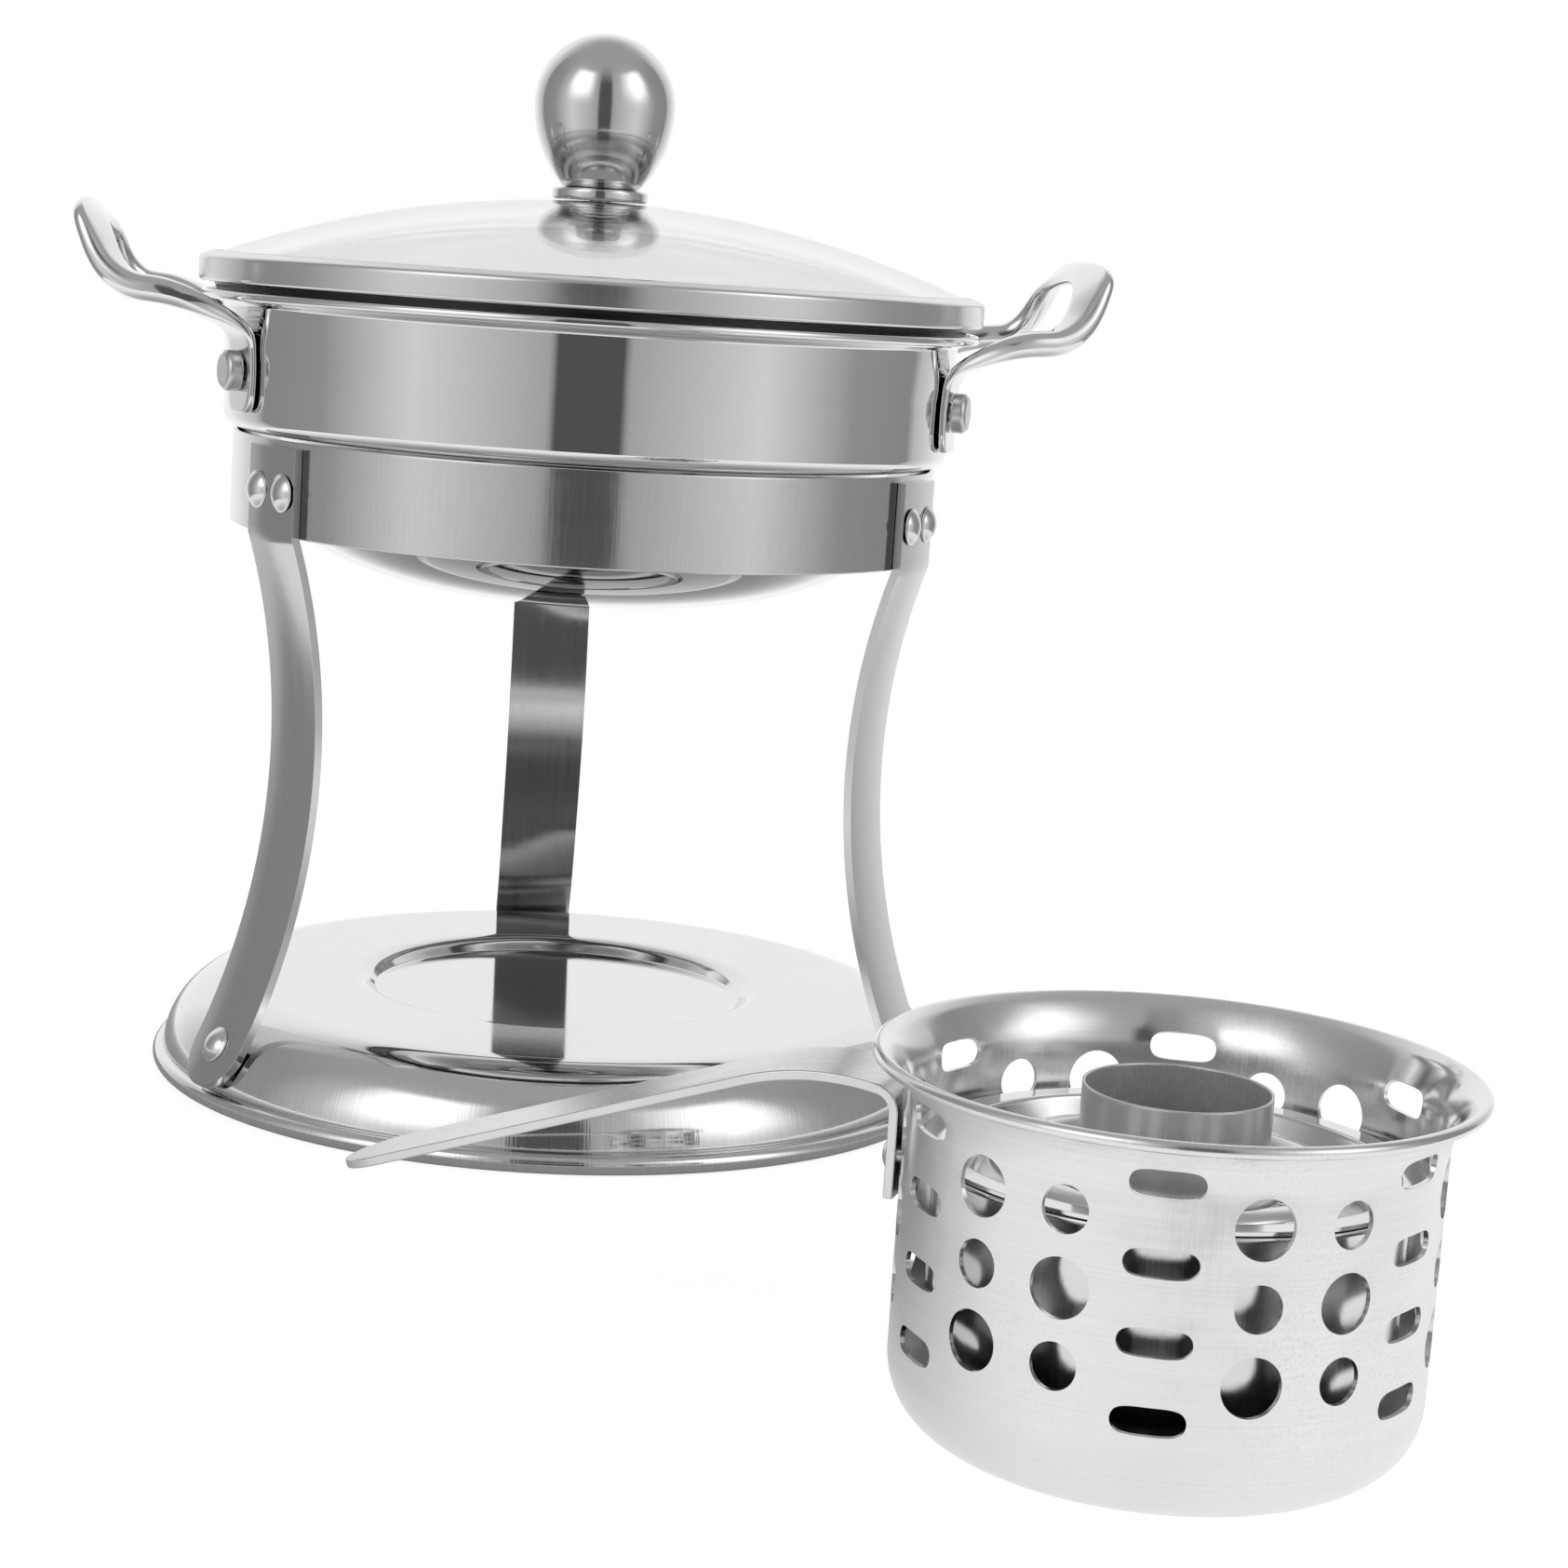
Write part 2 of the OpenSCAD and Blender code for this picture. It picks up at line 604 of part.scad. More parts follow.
// An egg-shaped bulb: a half ball on a swelling foot
module lid_knob() {
    color(steel)
        difference() {
            translate([0, 0, knob_z])
                rotate_extrude() {
                    intersection() {
                        circle(knob_r);
                        square([knob_r, knob_r]);
                    }
                    intersection() {
                        translate([knob_r - knob_swell_r, 0]) circle(knob_swell_r);
                        translate([0, -knob_taper_h]) square([knob_r, knob_taper_h]);
                    }
                }
            translate([0, 0, glass_crown + collar_h - through])
                cylinder(d = screw_d + 2 * rivet_play, h = through + screw_depth + 1);
        }
}

// Frame of the burner: its axis at the origin, its handle along +X
module at_burner() {
    translate([burner_x, burner_y, 0]) rotate(burner_turn) children();
}

// A long slot through the wall, with round ends
module wall_slot() {
    rotate([0, 90, 0]) {
        for (side = [-1, 1])
            translate([0, side * (slot_len - slot_h) / 2, 0]) cylinder(d = slot_h, h = through, center = true);
        cube([slot_h, slot_len - slot_h, through], center = true);
    }
}

// The wall's holes: a column of slots, then two columns of round holes that swap sizes
module cup_holes() {
    first = cup_h - hole_first;
    for (i = [0:cup_columns - 1]) {
        kind = i % 3;
        rotate(column_step * (i - 1))
            if (kind == 0)
                for (row = [0:3]) translate([cup_r, 0, first - row * hole_pitch]) wall_slot();
            else
                for (row = [0:2])
                    let (d = (row + kind) % 2 == 1 ? hole_large_d : hole_small_d)
                        translate([cup_r, 0, first - (row + 0.5) * hole_pitch]) rotate([0, 90, 0])
                            cylinder(d = d, h = through, center = true);
    }
}

module burner_cup() {
    flare_turn = acos(1 - (cup_flare - cup_bead_r) / flare_bend);
    flare_top = flare_start + flare_bend * sin(flare_turn);
    rim = [cup_rim_r - cup_bead_r, cup_h - cup_bead_r];
    outer_path = concat(
        [[0, 0]],
        arc([cup_foot_r, cup_bend_r], cup_bend_r, -90, 0, 9),
        arc([cup_r + flare_bend, flare_start], flare_bend, 180, 180 - flare_turn, 6),
        flare_top < rim.y - 0.5 ? [rim] : []);
    color(steel)
        at_burner()
            difference() {
                // The sheet's seam lies between two columns of holes
                rotate(column_step / 2)
                    rotate_extrude() {
                        sheet(outer_path, cup_t);
                        translate(rim) circle(cup_bead_r);
                    }
                cup_holes();
                at_tab() cylinder(r = tab_rivet_shank + rivet_play, h = through, center = true);
            }
}

// Frame of the rivets on the handle's tab: +Z points out of the cup
module at_tab() {
    for (side = [-1, 1])
        translate([tab_face + strap_t, side * tab_rivet_gap / 2, tab_rivet_z]) rotate([0, 90, 0]) children();
}

module burner_handle() {
    bend_centre = [tab_face + tab_bend_r, tab_bend_z];
    arch_start = bend_centre + tab_bend_r * [cos(90 + arch_rise), sin(90 + arch_rise)];
    arch_centre = arch_start - arch_r * [cos(90 + arch_rise), sin(90 + arch_rise)];
    arch_end = arch_centre + arch_r * [sin(strap_slope), cos(strap_slope)];
    tip = arch_end + strap_grip * [cos(strap_slope), -sin(strap_slope)];
    top_path = concat(
        [[tab_face, tab_z]],
        arc(bend_centre, tab_bend_r, 180, 90 + arch_rise, 8),
        arc(arch_centre, arch_r, 90 + arch_rise - arch_step, 90 - strap_slope, 12),
        [tip]);
    color(strap_steel)
        at_burner()
            difference() {
                rotate([90, 0, 0]) linear_extrude(strap_w, center = true) sheet(top_path, -strap_t);
                at_tab() cylinder(r = tab_rivet_shank + rivet_play, h = through, center = true);
                translate([tip.x, 0, tip.y]) rotate([0, strap_slope, 0]) translate([-strap_w / 2, 0, 0])
                    difference() {
                        translate([0, -strap_w, -through]) cube([strap_w, 2 * strap_w, 2 * through]);
                        cylinder(d = strap_w, h = 3 * through, center = true);
                    }
            }
}

module burner_handle_rivets() {
    tail_d = tab_rivet_d - 1.6;
    tail_edge = tab_rivet_gap / 2 + tail_d / 2;
    grip = tab_face + strap_t - sqrt(pow(cup_inner_r, 2) - pow(tail_edge, 2)) + 2 * rivet_play;
    color(steel)
        at_burner() at_tab()
            translate([0, 0, rivet_play])
                rivet(tab_rivet_d, 1.6, tab_rivet_shank, grip, tail_d, rivet_tail);
}

module fuel_bowl() {
    outer_path = concat(
        [[0, fuel_floor]],
        arc([fuel_r - fuel_bend_r, fuel_floor + fuel_bend_r], fuel_bend_r, -90, 0, 12),
        [[fuel_r, fuel_rim_z - head_t], [fuel_rim_r, fuel_rim_z - head_t]]);
    color(steel) at_burner() rotate_extrude() sheet(outer_path, head_t);
}

// A disc of crossed wires tacked under the head
module wire_gauze() {
    lines = floor(gauze_r / gauze_pitch);
    color("dimgray")
        at_burner()
            translate([0, 0, gauze_z])
                linear_extrude(gauze_wire) {
                    difference() {
                        circle(gauze_r);
                        circle(gauze_r - 1.5);
                    }
                    intersection() {
                        circle(gauze_r - 0.5);
                        for (i = [-lines:lines], turn = [0, 90])
                            rotate(turn) translate([i * gauze_pitch - gauze_wire / 2, -gauze_r])
                                square([gauze_wire, 2 * gauze_r]);
                    }
                }
}

// The dished head: a flange on the fuel bowl's rim, a moat, a ridge and a slotted floor
module burner_head() {
    top_path = concat(
        [[chimney_r - 0.6, head_floor], [slot_outer_r + 0.6, head_floor]],
        arc([ridge_r, head_z - ridge_w / 2 - 0.8], ridge_w / 2, 160, 20, 8),
        [[dish_r + 0.5, moat_floor], [dish_r + 2.2, moat_floor], [head_wall_r - 0.4, head_z - 1.6],
         [head_wall_r + 0.4, head_z], [fuel_rim_r, head_z]]);
    color(steel)
        at_burner()
            difference() {
                rotate_extrude() sheet(top_path, -head_t);
                for (i = [0:head_slots - 1])
                    rotate(360 * i / head_slots)
                        translate([slot_inner_r, -head_slot_w / 2, head_floor - through / 2])
                            cube([slot_outer_r - slot_inner_r, head_slot_w, through]);
            }
}

module burner_chimney() {
    wall = 0.5;
    foot_bend = 2.4;
    outer_path = concat(
        arc([chimney_r + foot_bend, head_floor + rivet_play + wall + foot_bend], foot_bend, 270, 180, 5),
        [[chimney_r, head_floor + chimney_h]]);
    color(strap_steel) at_burner() rotate_extrude() sheet(outer_path, wall);
}

base_plate();
leg_left();
leg_right();
leg_rear();
leg_foot_rivets();
ring_band();
leg_top_rivets();
pot_body();
handle_left();
handle_right();
handle_rivets_left();
handle_rivets_right();
lid_hoop();
lid_glass();
knob_washer();
knob_screw();
knob_collar();
lid_knob();
burner_cup();
burner_handle();
burner_handle_rivets();
fuel_bowl();
wire_gauze();
burner_head();
burner_chimney();
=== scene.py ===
from math import asin, atan2, cos, degrees, hypot, pi, radians, sin, sqrt

import bmesh
import bpy
from mathutils import Matrix, Vector


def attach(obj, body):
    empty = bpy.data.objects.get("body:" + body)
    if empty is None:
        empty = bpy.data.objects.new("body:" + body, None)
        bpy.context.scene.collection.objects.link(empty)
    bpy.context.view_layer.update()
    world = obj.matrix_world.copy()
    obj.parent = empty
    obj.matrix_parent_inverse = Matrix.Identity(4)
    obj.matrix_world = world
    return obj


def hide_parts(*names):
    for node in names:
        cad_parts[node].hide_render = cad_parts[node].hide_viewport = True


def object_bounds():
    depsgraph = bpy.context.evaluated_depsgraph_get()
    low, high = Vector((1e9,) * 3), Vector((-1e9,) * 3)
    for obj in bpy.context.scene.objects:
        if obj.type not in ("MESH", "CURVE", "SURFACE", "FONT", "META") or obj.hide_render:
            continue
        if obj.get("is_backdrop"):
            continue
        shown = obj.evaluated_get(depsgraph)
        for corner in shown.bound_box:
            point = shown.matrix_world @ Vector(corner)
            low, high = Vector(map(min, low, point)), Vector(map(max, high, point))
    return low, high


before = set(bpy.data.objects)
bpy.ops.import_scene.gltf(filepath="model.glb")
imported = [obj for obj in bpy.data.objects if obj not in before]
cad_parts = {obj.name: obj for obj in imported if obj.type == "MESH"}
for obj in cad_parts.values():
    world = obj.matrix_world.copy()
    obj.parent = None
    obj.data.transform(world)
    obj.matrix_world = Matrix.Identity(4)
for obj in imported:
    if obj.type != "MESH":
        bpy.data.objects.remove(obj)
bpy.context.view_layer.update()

# Base. A disc of bright steel spun into a shallow dish upside down, with a seat for the burner
# pressed into its top and its rim curled under. It carries the whole stand on the table.
mm = 0.001
micron = 1e-6


class Outline:
    """A half section drawn with a pen, in millimetres out from the axis and up, then turned on a lathe."""

    support = 0.35

    def __init__(self, out, up):
        self.shape = bmesh.new()
        self.tip = self.shape.verts.new((out * mm, 0, up * mm))

    def step(self, out, up):
        end = self.shape.verts.new((out * mm, 0, up * mm))
        self.shape.edges.new((self.tip, end))
        self.tip = end

    def line(self, out, up):
        """A straight run, with a stop close to each end so that bends do not bleed into the flat."""
        start = self.tip.co.copy() / mm
        run = Vector((out, 0, up)) - start
        if run.length > 4 * self.support:
            for reach in (self.support, run.length - self.support):
                stop = start + run * (reach / run.length)
                self.step(stop.x, stop.z)
        self.step(out, up)

    def lines(self, *points):
        for point in points:
            self.line(*point)

    def arc(self, out, up, radius, start, end, steps=8):
        """A straight run to the arc's start, then the arc, in degrees counter-clockwise from outwards."""
        self.line(out + radius * cos(radians(start)), up + radius * sin(radians(start)))
        swept = bmesh.ops.spin(self.shape, geom=[self.tip], cent=(out * mm, 0, up * mm), axis=(0, -1, 0),
                               angle=radians(end - start), steps=steps, use_duplicate=False)
        self.tip = next(v for v in swept["geom_last"] if isinstance(v, bmesh.types.BMVert))

    def lathe(self, steps=192):
        shape = self.shape
        bmesh.ops.remove_doubles(shape, verts=shape.verts, dist=0.002 * mm)
        bmesh.ops.spin(shape, geom=shape.verts[:] + shape.edges[:], cent=(0, 0, 0), axis=(0, 0, 1),
                       angle=2 * pi, steps=steps, use_merge=True)
        bmesh.ops.remove_doubles(shape, verts=shape.verts, dist=0.002 * mm)
        bmesh.ops.recalc_face_normals(shape, faces=shape.faces)
        return shape


class Value:
    """A number in a shader, so that sums with it are written as plain ones."""

    def __init__(self, shader, socket):
        self.shader = shader
        self.socket = socket

    def __add__(self, other):
        return self.shader.maths("ADD", self, other)

    def __sub__(self, other):
        return self.shader.maths("SUBTRACT", self, other)

    def __rsub__(self, other):
        return self.shader.maths("SUBTRACT", other, self)

    def __mul__(self, other):
        return self.shader.maths("MULTIPLY", self, other)

    def __truediv__(self, other):
        return self.shader.maths("DIVIDE", self, other)

    def __pow__(self, other):
        return self.shader.maths("POWER", self, other)

    __radd__ = __add__
    __rmul__ = __mul__


class Shader:
    """The nodes of one finish, of the floor or of the studio."""

    def __init__(self, owner):
        owner.use_nodes = True
        self.tree = owner.node_tree
        self.tree.nodes.clear()

    def node(self, kind, settings, sockets, output=0):
        node = self.tree.nodes.new("ShaderNode" + kind)
        for name, value in settings.items():
            if name == "stops":
                ramp = node.color_ramp.elements
                while len(ramp) < len(value):
                    ramp.new(1)
                for stop, (place, grey) in zip(ramp, value):
                    stop.position = place
                    stop.color = (grey, grey, grey, 1)
            else:
                setattr(node, name, value)
        for name, value in sockets.items():
            if isinstance(value, Value):
                self.tree.links.new(value.socket, node.inputs[name])
            else:
                node.inputs[name].default_value = value
        return Value(self, node.outputs[output]) if len(node.outputs) else None

    def maths(self, operation, first, second=0.0):
        return self.node("Math", {"operation": operation}, {0: first, 1: second})

    def place(self, kind="Object"):
        return self.node("TexCoord", {}, {}, kind)

    def vector(self, x, y, z=0.0):
        return self.node("CombineXYZ", {}, {0: x, 1: y, 2: z})

    def parts(self, vector, count=3):
        """The numbers that a vector is made of, from x on."""
        return [self.node("SeparateXYZ", {}, {0: vector}, k) for k in range(count)]

    def noise(self, place, scale, detail=2.0):
        return self.node("TexNoise", {}, {"Vector": place, "Scale": scale, "Detail": detail})

    def between(self, value, start, end, low=0.0, high=1.0, kind="LINEAR"):
        """A level that goes from low to high while a value goes from start to end, and stays there."""
        return self.node("MapRange", {"interpolation_type": kind}, {
            "Value": value, "From Min": start, "From Max": end, "To Min": low, "To Max": high})

    def bump(self, distance, height):
        return self.node("Bump", {}, {"Strength": 1.0, "Distance": distance, "Height": height})

    def surface(self, sockets):
        return self.node("BsdfPrincipled", {}, sockets)

    def finish(self, surface):
        self.node("OutputMaterial", {}, {"Surface": surface})


def spun_steel(name, tone, gloss, ring_depth, smudge=0.5, axis=(0, 0), lean=0.0, drawn=0.3, grain=0.05,
               bare=1.0, painted_shade_height=-1.0):
    """Steel turned on a lathe: rings about its axis, their depth in microns, with smudges and scuffs.

    Steep walls keep faint upright lines from the drawing die. Steel that isn't bare has a dull skin, and
    below a given height its colour is darkened, as painted shade in a recess between parts.
    """
    finish = bpy.data.materials.new(name)
    shader = Shader(finish)
    place = shader.node("VectorMath", {"operation": "SUBTRACT"}, {0: shader.place(), 1: (*axis, 0)})
    x, y, z = shader.parts(place)
    out = (x * x + y * y) ** 0.5
    rings = shader.noise(shader.vector(out, z), scale=2200, detail=3)
    broad_rings = shader.noise(shader.vector(out, z), scale=260)
    handling = shader.noise(place, scale=26, detail=5)
    specks = shader.noise(place, scale=420)
    worn = (handling - 0.5) * smudge
    scuffs = shader.between(shader.noise(place, scale=1500), 0.5, 0.7) * shader.between(handling, 0.5, 0.68)
    facing = shader.node("NewGeometry", {}, {}, "Normal")
    steep = 1 - shader.maths("ABSOLUTE", shader.node("SeparateXYZ", {}, {0: facing}, 2))
    around = shader.vector(x / out, y / out, z * 0.6)
    lines = (shader.noise(around, scale=150, detail=3) - 0.5) * steep * drawn
    roughness = gloss * (1 + worn * 1.6 + (broad_rings - 0.5) * 0.5 + (specks - 0.5) * 0.3 + lines * 3)
    colour = tone * (1 + worn * (0.1 + grain) + (rings - 0.5) * grain + lines * 0.35)
    # Below the given height the colour falls to 0.35 of its tone: painted shade
    painted_shade_factor = shader.between(z, painted_shade_height, painted_shade_height + 0.4 * mm, low=0.35)
    colour = colour * (1 - scuffs * smudge ** 2 * 0.08) * painted_shade_factor
    turned = shader.bump(micron, rings * ring_depth + lines * 22)
    shader.finish(shader.surface({"Base Color": colour, "Metallic": bare, "Roughness": roughness,
                                  "Anisotropic": lean, "Anisotropic Rotation": 0.25, "Normal": turned}))
    return finish


def moved(shape, place):
    """A shape put in its place."""
    bmesh.ops.transform(shape, matrix=place, verts=shape.verts)
    return shape


def finished(name, shape, finish, body, slot, *nodes):
    """A shape made an object, which rides on its body and stands for its solids."""
    mesh = bpy.data.meshes.new(name)
    shape.to_mesh(mesh)
    shape.free()
    mesh.shade_smooth()
    mesh.materials.append(finish)
    piece = bpy.data.objects.new(name, mesh)
    bpy.context.collection.objects.link(piece)
    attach(piece, body)
    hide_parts(*nodes)
    return piece


sheet = 1.0
# The gap that is left between pieces that lie on each other
fit = 0.05
base_top = 21.615
seat_floor = base_top - 3.2
seat_wall = 45
seat_bend = (44.258, seat_floor + 0.8, 0.8)
lip_bend = (50.69, base_top - 7, 7)
slope, slope_wide, slope_high, slope_turn = (77.3, 2.6), 18.0, 19.015, 84.6
curl, curl_start, curl_end = (95.435, 2.2, 2.2), 96, -205
slope_steps = 30


def slope_point(k, inside):
    """A point on the round shoulder, from the flat down to the curl, or on its inner face."""
    turn = radians(90 - slope_turn * k / slope_steps)
    return slope[0] + (slope_wide - inside) * cos(turn), slope[1] + (slope_high - inside) * sin(turn)


base = Outline(0, seat_floor)
base.arc(*seat_bend, -90, seat_wall - 90, 6)
base.arc(*lip_bend, 90 + seat_wall, 90, 12)
base.line(*slope_point(0, 0))
for k in range(1, slope_steps + 1):
    base.step(*slope_point(k, 0))
base.arc(*curl, curl_start, curl_end, 26)
for k in range(slope_steps, 0, -1):
    base.step(*slope_point(k, sheet))
base.line(*slope_point(0, sheet))
base.arc(lip_bend[0], lip_bend[1], lip_bend[2] - sheet, 90, 90 + seat_wall, 10)
base.arc(seat_bend[0], seat_bend[1], seat_bend[2] + sheet, seat_wall - 90, -90, 6)
base.line(0, seat_floor - sheet)
base_finish = spun_steel("polished_base", tone=0.74, gloss=0.07, ring_depth=0.5, drawn=1.0)
finished("spun_base", base.lathe(), base_finish, "stand", "polished_steel", "base_plate")

# Legs. Three straps of satin steel, each cut with one round end, then bent: upright against the
# ring at the top, swept in to a waist and out again to a foot that lies on the base's slope.


def strap_blank(length, width, cuts):
    """A flat strap along +X with a round far end, cut across so that it can bend."""
    blank = bmesh.new()
    bmesh.ops.create_grid(blank, x_segments=1, y_segments=1, size=0.5)
    bmesh.ops.scale(blank, vec=(length * mm, width * mm, 1), verts=blank.verts)
    bmesh.ops.translate(blank, vec=(length * mm / 2, 0, 0), verts=blank.verts)
    corners = [v for v in blank.verts if v.co.x > length * mm / 2]
    bmesh.ops.bevel(blank, geom=corners, offset=0.498 * width * mm, offset_type="OFFSET", affect="VERTICES",
                    segments=12, profile=0.5, material=-1)
    planes = [((length * mm * k / cuts, 0, 0), (1, 0, 0)) for k in range(1, cuts)]
    planes += [((0, width * mm * (k / 6 - 0.5), 0), (0, 1, 0)) for k in range(1, 6)]
    for spot, facing in planes:
        bmesh.ops.bisect_plane(blank, geom=blank.verts[:] + blank.edges[:] + blank.faces[:], dist=0.0001 * mm,
                               plane_co=spot, plane_no=facing)
    along = blank.loops.layers.uv.new("along")
    for face in blank.faces:
        for corner in face.loops:
            corner[along].uv = corner.vert.co.xy
    return blank


def thicken(piece, thickness):
    """Gives a sheet its thickness, behind the face that is drawn."""
    wall = piece.modifiers.new("thickness", "SOLIDIFY")
    wall.thickness = thickness * mm
    wall.offset = -1


def bent_strap(name, blank, path, place, thickness, finish, body, node, crown=0.0, twist=0.0, free=(0, 1)):
    """Bends a blank along a path in the XZ plane, puts it in place and gives it thickness and soft edges.

    The crown is how sharply it curves across its width, as one over the radius. The twist is the slope
    across its width in the middle of its free run, and fades out towards both ends of that run.
    """
    for vert in blank.verts:
        run = vert.co.x / mm
        aside = vert.co.y / mm
        here, there = (Vector((out, 0, up)) for out, up in (path(run), path(run + 0.05)))
        outward = Vector((here.z - there.z, 0, there.x - here.x)).normalized()
        part = min(max((run - free[0]) / (free[1] - free[0]), 0), 1)
        turned = twist * min(1, 2 * sin(pi * part) ** 2)
        vert.co = (here + Vector((0, aside, 0)) - outward * (crown * aside ** 2 / 2 + turned * aside)) * mm
    bmesh.ops.recalc_face_normals(blank, faces=blank.faces)
    if sum(face.normal.x + face.normal.z for face in blank.faces) < 0:
        bmesh.ops.reverse_faces(blank, faces=blank.faces)
    strap = finished(name, moved(blank, place), finish, body, "satin_steel", node)
    thicken(strap, thickness)
    soften(strap, 0.35)


def soften(piece, width):
    """Rounds a piece's cut edges by a little, as deburring does."""
    edges = piece.modifiers.new("edges", "BEVEL")
    edges.width = width * mm
    edges.segments = 2
    edges.limit_method = "ANGLE"
    edges.angle_limit = radians(50)
    edges.harden_normals = True


def strap_steel(name, tone, gloss):
    """Cold-rolled strap: fine lines along it, a soft sheen and a few rubbed patches."""
    finish = bpy.data.materials.new(name)
    shader = Shader(finish)
    run, across = shader.parts(shader.place("UV"), 2)
    place = shader.place()
    lines = shader.noise(shader.vector(run * 0.025, across), scale=5200, detail=3)
    long_lines = shader.noise(shader.vector(run * 0.06, across), scale=700)
    rubbed = shader.noise(place, scale=34, detail=5)
    grain = shader.noise(place, scale=900)
    roughness = gloss * (1 + (rubbed - 0.5) * 0.7 + (long_lines - 0.5) * 0.5 + (grain - 0.5) * 0.2)
    colour = tone * (1 + (lines - 0.5) * 0.16 + (rubbed - 0.5) * 0.1)
    brushed = shader.bump(2.5 * micron, lines + grain * 0.8)
    shader.finish(shader.surface({"Base Color": colour, "Metallic": 1.0, "Roughness": roughness,
                                  "Normal": brushed}))
    return finish


leg_width, leg_thick, leg_length, leg_cuts = 20, 2, 150.44, 90
leg_face, leg_top = 85.85, 151.6
leg_straight = leg_top - 131.5
leg_sweep = (227.793, 83.0, 150.0)
leg_sweep_start = radians(161.14)


def leg_path(run):
    """A leg's outer face: straight down the ring, then round the sweep."""
    if run < leg_straight:
        return leg_face, leg_top - run
    turn = leg_sweep_start + (run - leg_straight) / leg_sweep[2]
    return leg_sweep[0] + leg_sweep[2] * cos(turn), leg_sweep[1] + leg_sweep[2] * sin(turn)


leg_finish = strap_steel("satin_strap", tone=0.62, gloss=0.15)
leg_free = (leg_straight + 2, leg_length - 14)
# Where each leg stands, its crown and its twist. The rear one is flatter, and turned a little.
legs = {"leg_left": (210, 1 / 105, 0), "leg_right": (330, 1 / 105, 0), "leg_rear": (90, 1 / 500, -0.1)}
for node, (angle, crowned, twisted) in legs.items():
    bent_strap("strap_" + node, strap_blank(leg_length, leg_width, leg_cuts), leg_path,
               Matrix.Rotation(radians(angle), 4, "Z"), leg_thick, leg_finish, "stand", node,
               crowned, twisted, leg_free)

# Rivets of the stand. Steel rivets with low domed heads, set cold: one through each foot and the
# base's slope, and two side by side through the top of each leg and the ring.


def domed_rivet(place, head_d, head_h, shank_r, grip, tail_d, tail_h=1.1):
    """A rivet whose head stands on its place, with the set tail on the far side of what it holds."""
    dome = ((head_d / 2) ** 2 + head_h ** 2) / (2 * head_h)
    reach = degrees(asin(head_d / 2 / dome))
    rivet = Outline(0, head_h)
    rivet.arc(0, head_h - dome, dome, 90, 90 - 0.94 * reach, 10)
    rivet.step(head_d / 2, 0.12 * head_h)
    rivet.step(head_d / 2, 0)
    rivet.lines((shank_r, 0), (shank_r, -grip), (tail_d / 2, -grip),
                (tail_d / 2 - tail_h / 2, -grip - tail_h), (0, -grip - tail_h))
    return moved(rivet.lathe(40), place)


def together(shapes):
    """Several like shapes as one mesh."""
    whole = bmesh.new()
    for shape in shapes:
        part = bpy.data.meshes.new("part")
        shape.to_mesh(part)
        shape.free()
        whole.from_mesh(part)
        bpy.data.meshes.remove(part)
    return whole


def facing_out(angle, out, aside, up, tilt=0.0):
    """A place on an upright axis's side whose +Z points outwards, tilted up by some degrees."""
    return (Matrix.Rotation(radians(angle), 4, "Z")
            @ Matrix.Translation((out * mm, aside * mm, up * mm))
            @ Matrix.Rotation(radians(90 - tilt), 4, "Y"))


def rivet_steel(name, tone, gloss):
    """Plain bright rivet steel, a little dull from the setting tool."""
    finish = bpy.data.materials.new(name)
    shader = Shader(finish)
    place = shader.place()
    marks = shader.noise(place, scale=650, detail=4)
    patches = shader.noise(place, scale=180, detail=3)
    roughness = gloss * (1 + (patches - 0.5) * 0.8) + (marks - 0.5) * 0.06
    colour = tone * (1 + (patches - 0.5) * 0.16)
    struck = shader.bump(4 * micron, marks)
    shader.finish(shader.surface({"Base Color": colour, "Metallic": 1.0, "Roughness": roughness,
                                  "Normal": struck}))
    return finish


rivet_finish = rivet_steel("bright_rivet", tone=0.7, gloss=0.14)
foot_turn = 27.105
foot_hollow = 0.059
foot_out = leg_sweep[0] - leg_sweep[2] * cos(radians(foot_turn))
foot_up = leg_sweep[1] - leg_sweep[2] * sin(radians(foot_turn))
rivet_aside, rivet_up = 5.5, 141.55
foot_rivets = []
ring_rivets = []
for angle, crowned, twisted in legs.values():
    place = facing_out(angle, foot_out + foot_hollow, 0, foot_up, foot_turn)
    foot_rivets.append(domed_rivet(place, head_d=8.4, head_h=2.0, shank_r=2.2, grip=3.8, tail_d=6.4))
    for aside in (-rivet_aside, rivet_aside):
        place = facing_out(angle, leg_face + fit, aside, rivet_up)
        ring_rivets.append(domed_rivet(place, head_d=8.6, head_h=2.0, shank_r=2.0, grip=3.75, tail_d=6.2))
finished("foot_rivets", together(foot_rivets), rivet_finish, "stand", "rivet_steel", "leg_foot_rivets")
finished("ring_rivets", together(ring_rivets), rivet_finish, "stand", "rivet_steel", "leg_top_rivets")

# Ring. A band of bright sheet rolled into a hoop. Its top edge carries the pot's shoulder, and the
# three legs are riveted to its outside.
ring_out, ring_low, ring_high = 83.8, 131.5, 153.0
edge = 0.3
ring = Outline(ring_out - sheet + edge, ring_low)
ring.arc(ring_out - edge, ring_low + edge, edge, -90, 0, 4)
ring.arc(ring_out - edge, ring_high - edge, edge, 0, 90, 4)
ring.arc(ring_out - sheet + edge, ring_high - edge, edge, 90, 180, 4)
ring.arc(ring_out - sheet + edge, ring_low + edge, edge, 180, 270, 4)
ring_finish = spun_steel("rolled_ring", tone=0.7, gloss=0.14, ring_depth=0.9, smudge=1.0)
finished("ring", ring.lathe(), ring_finish, "stand", "polished_steel", "ring_band")

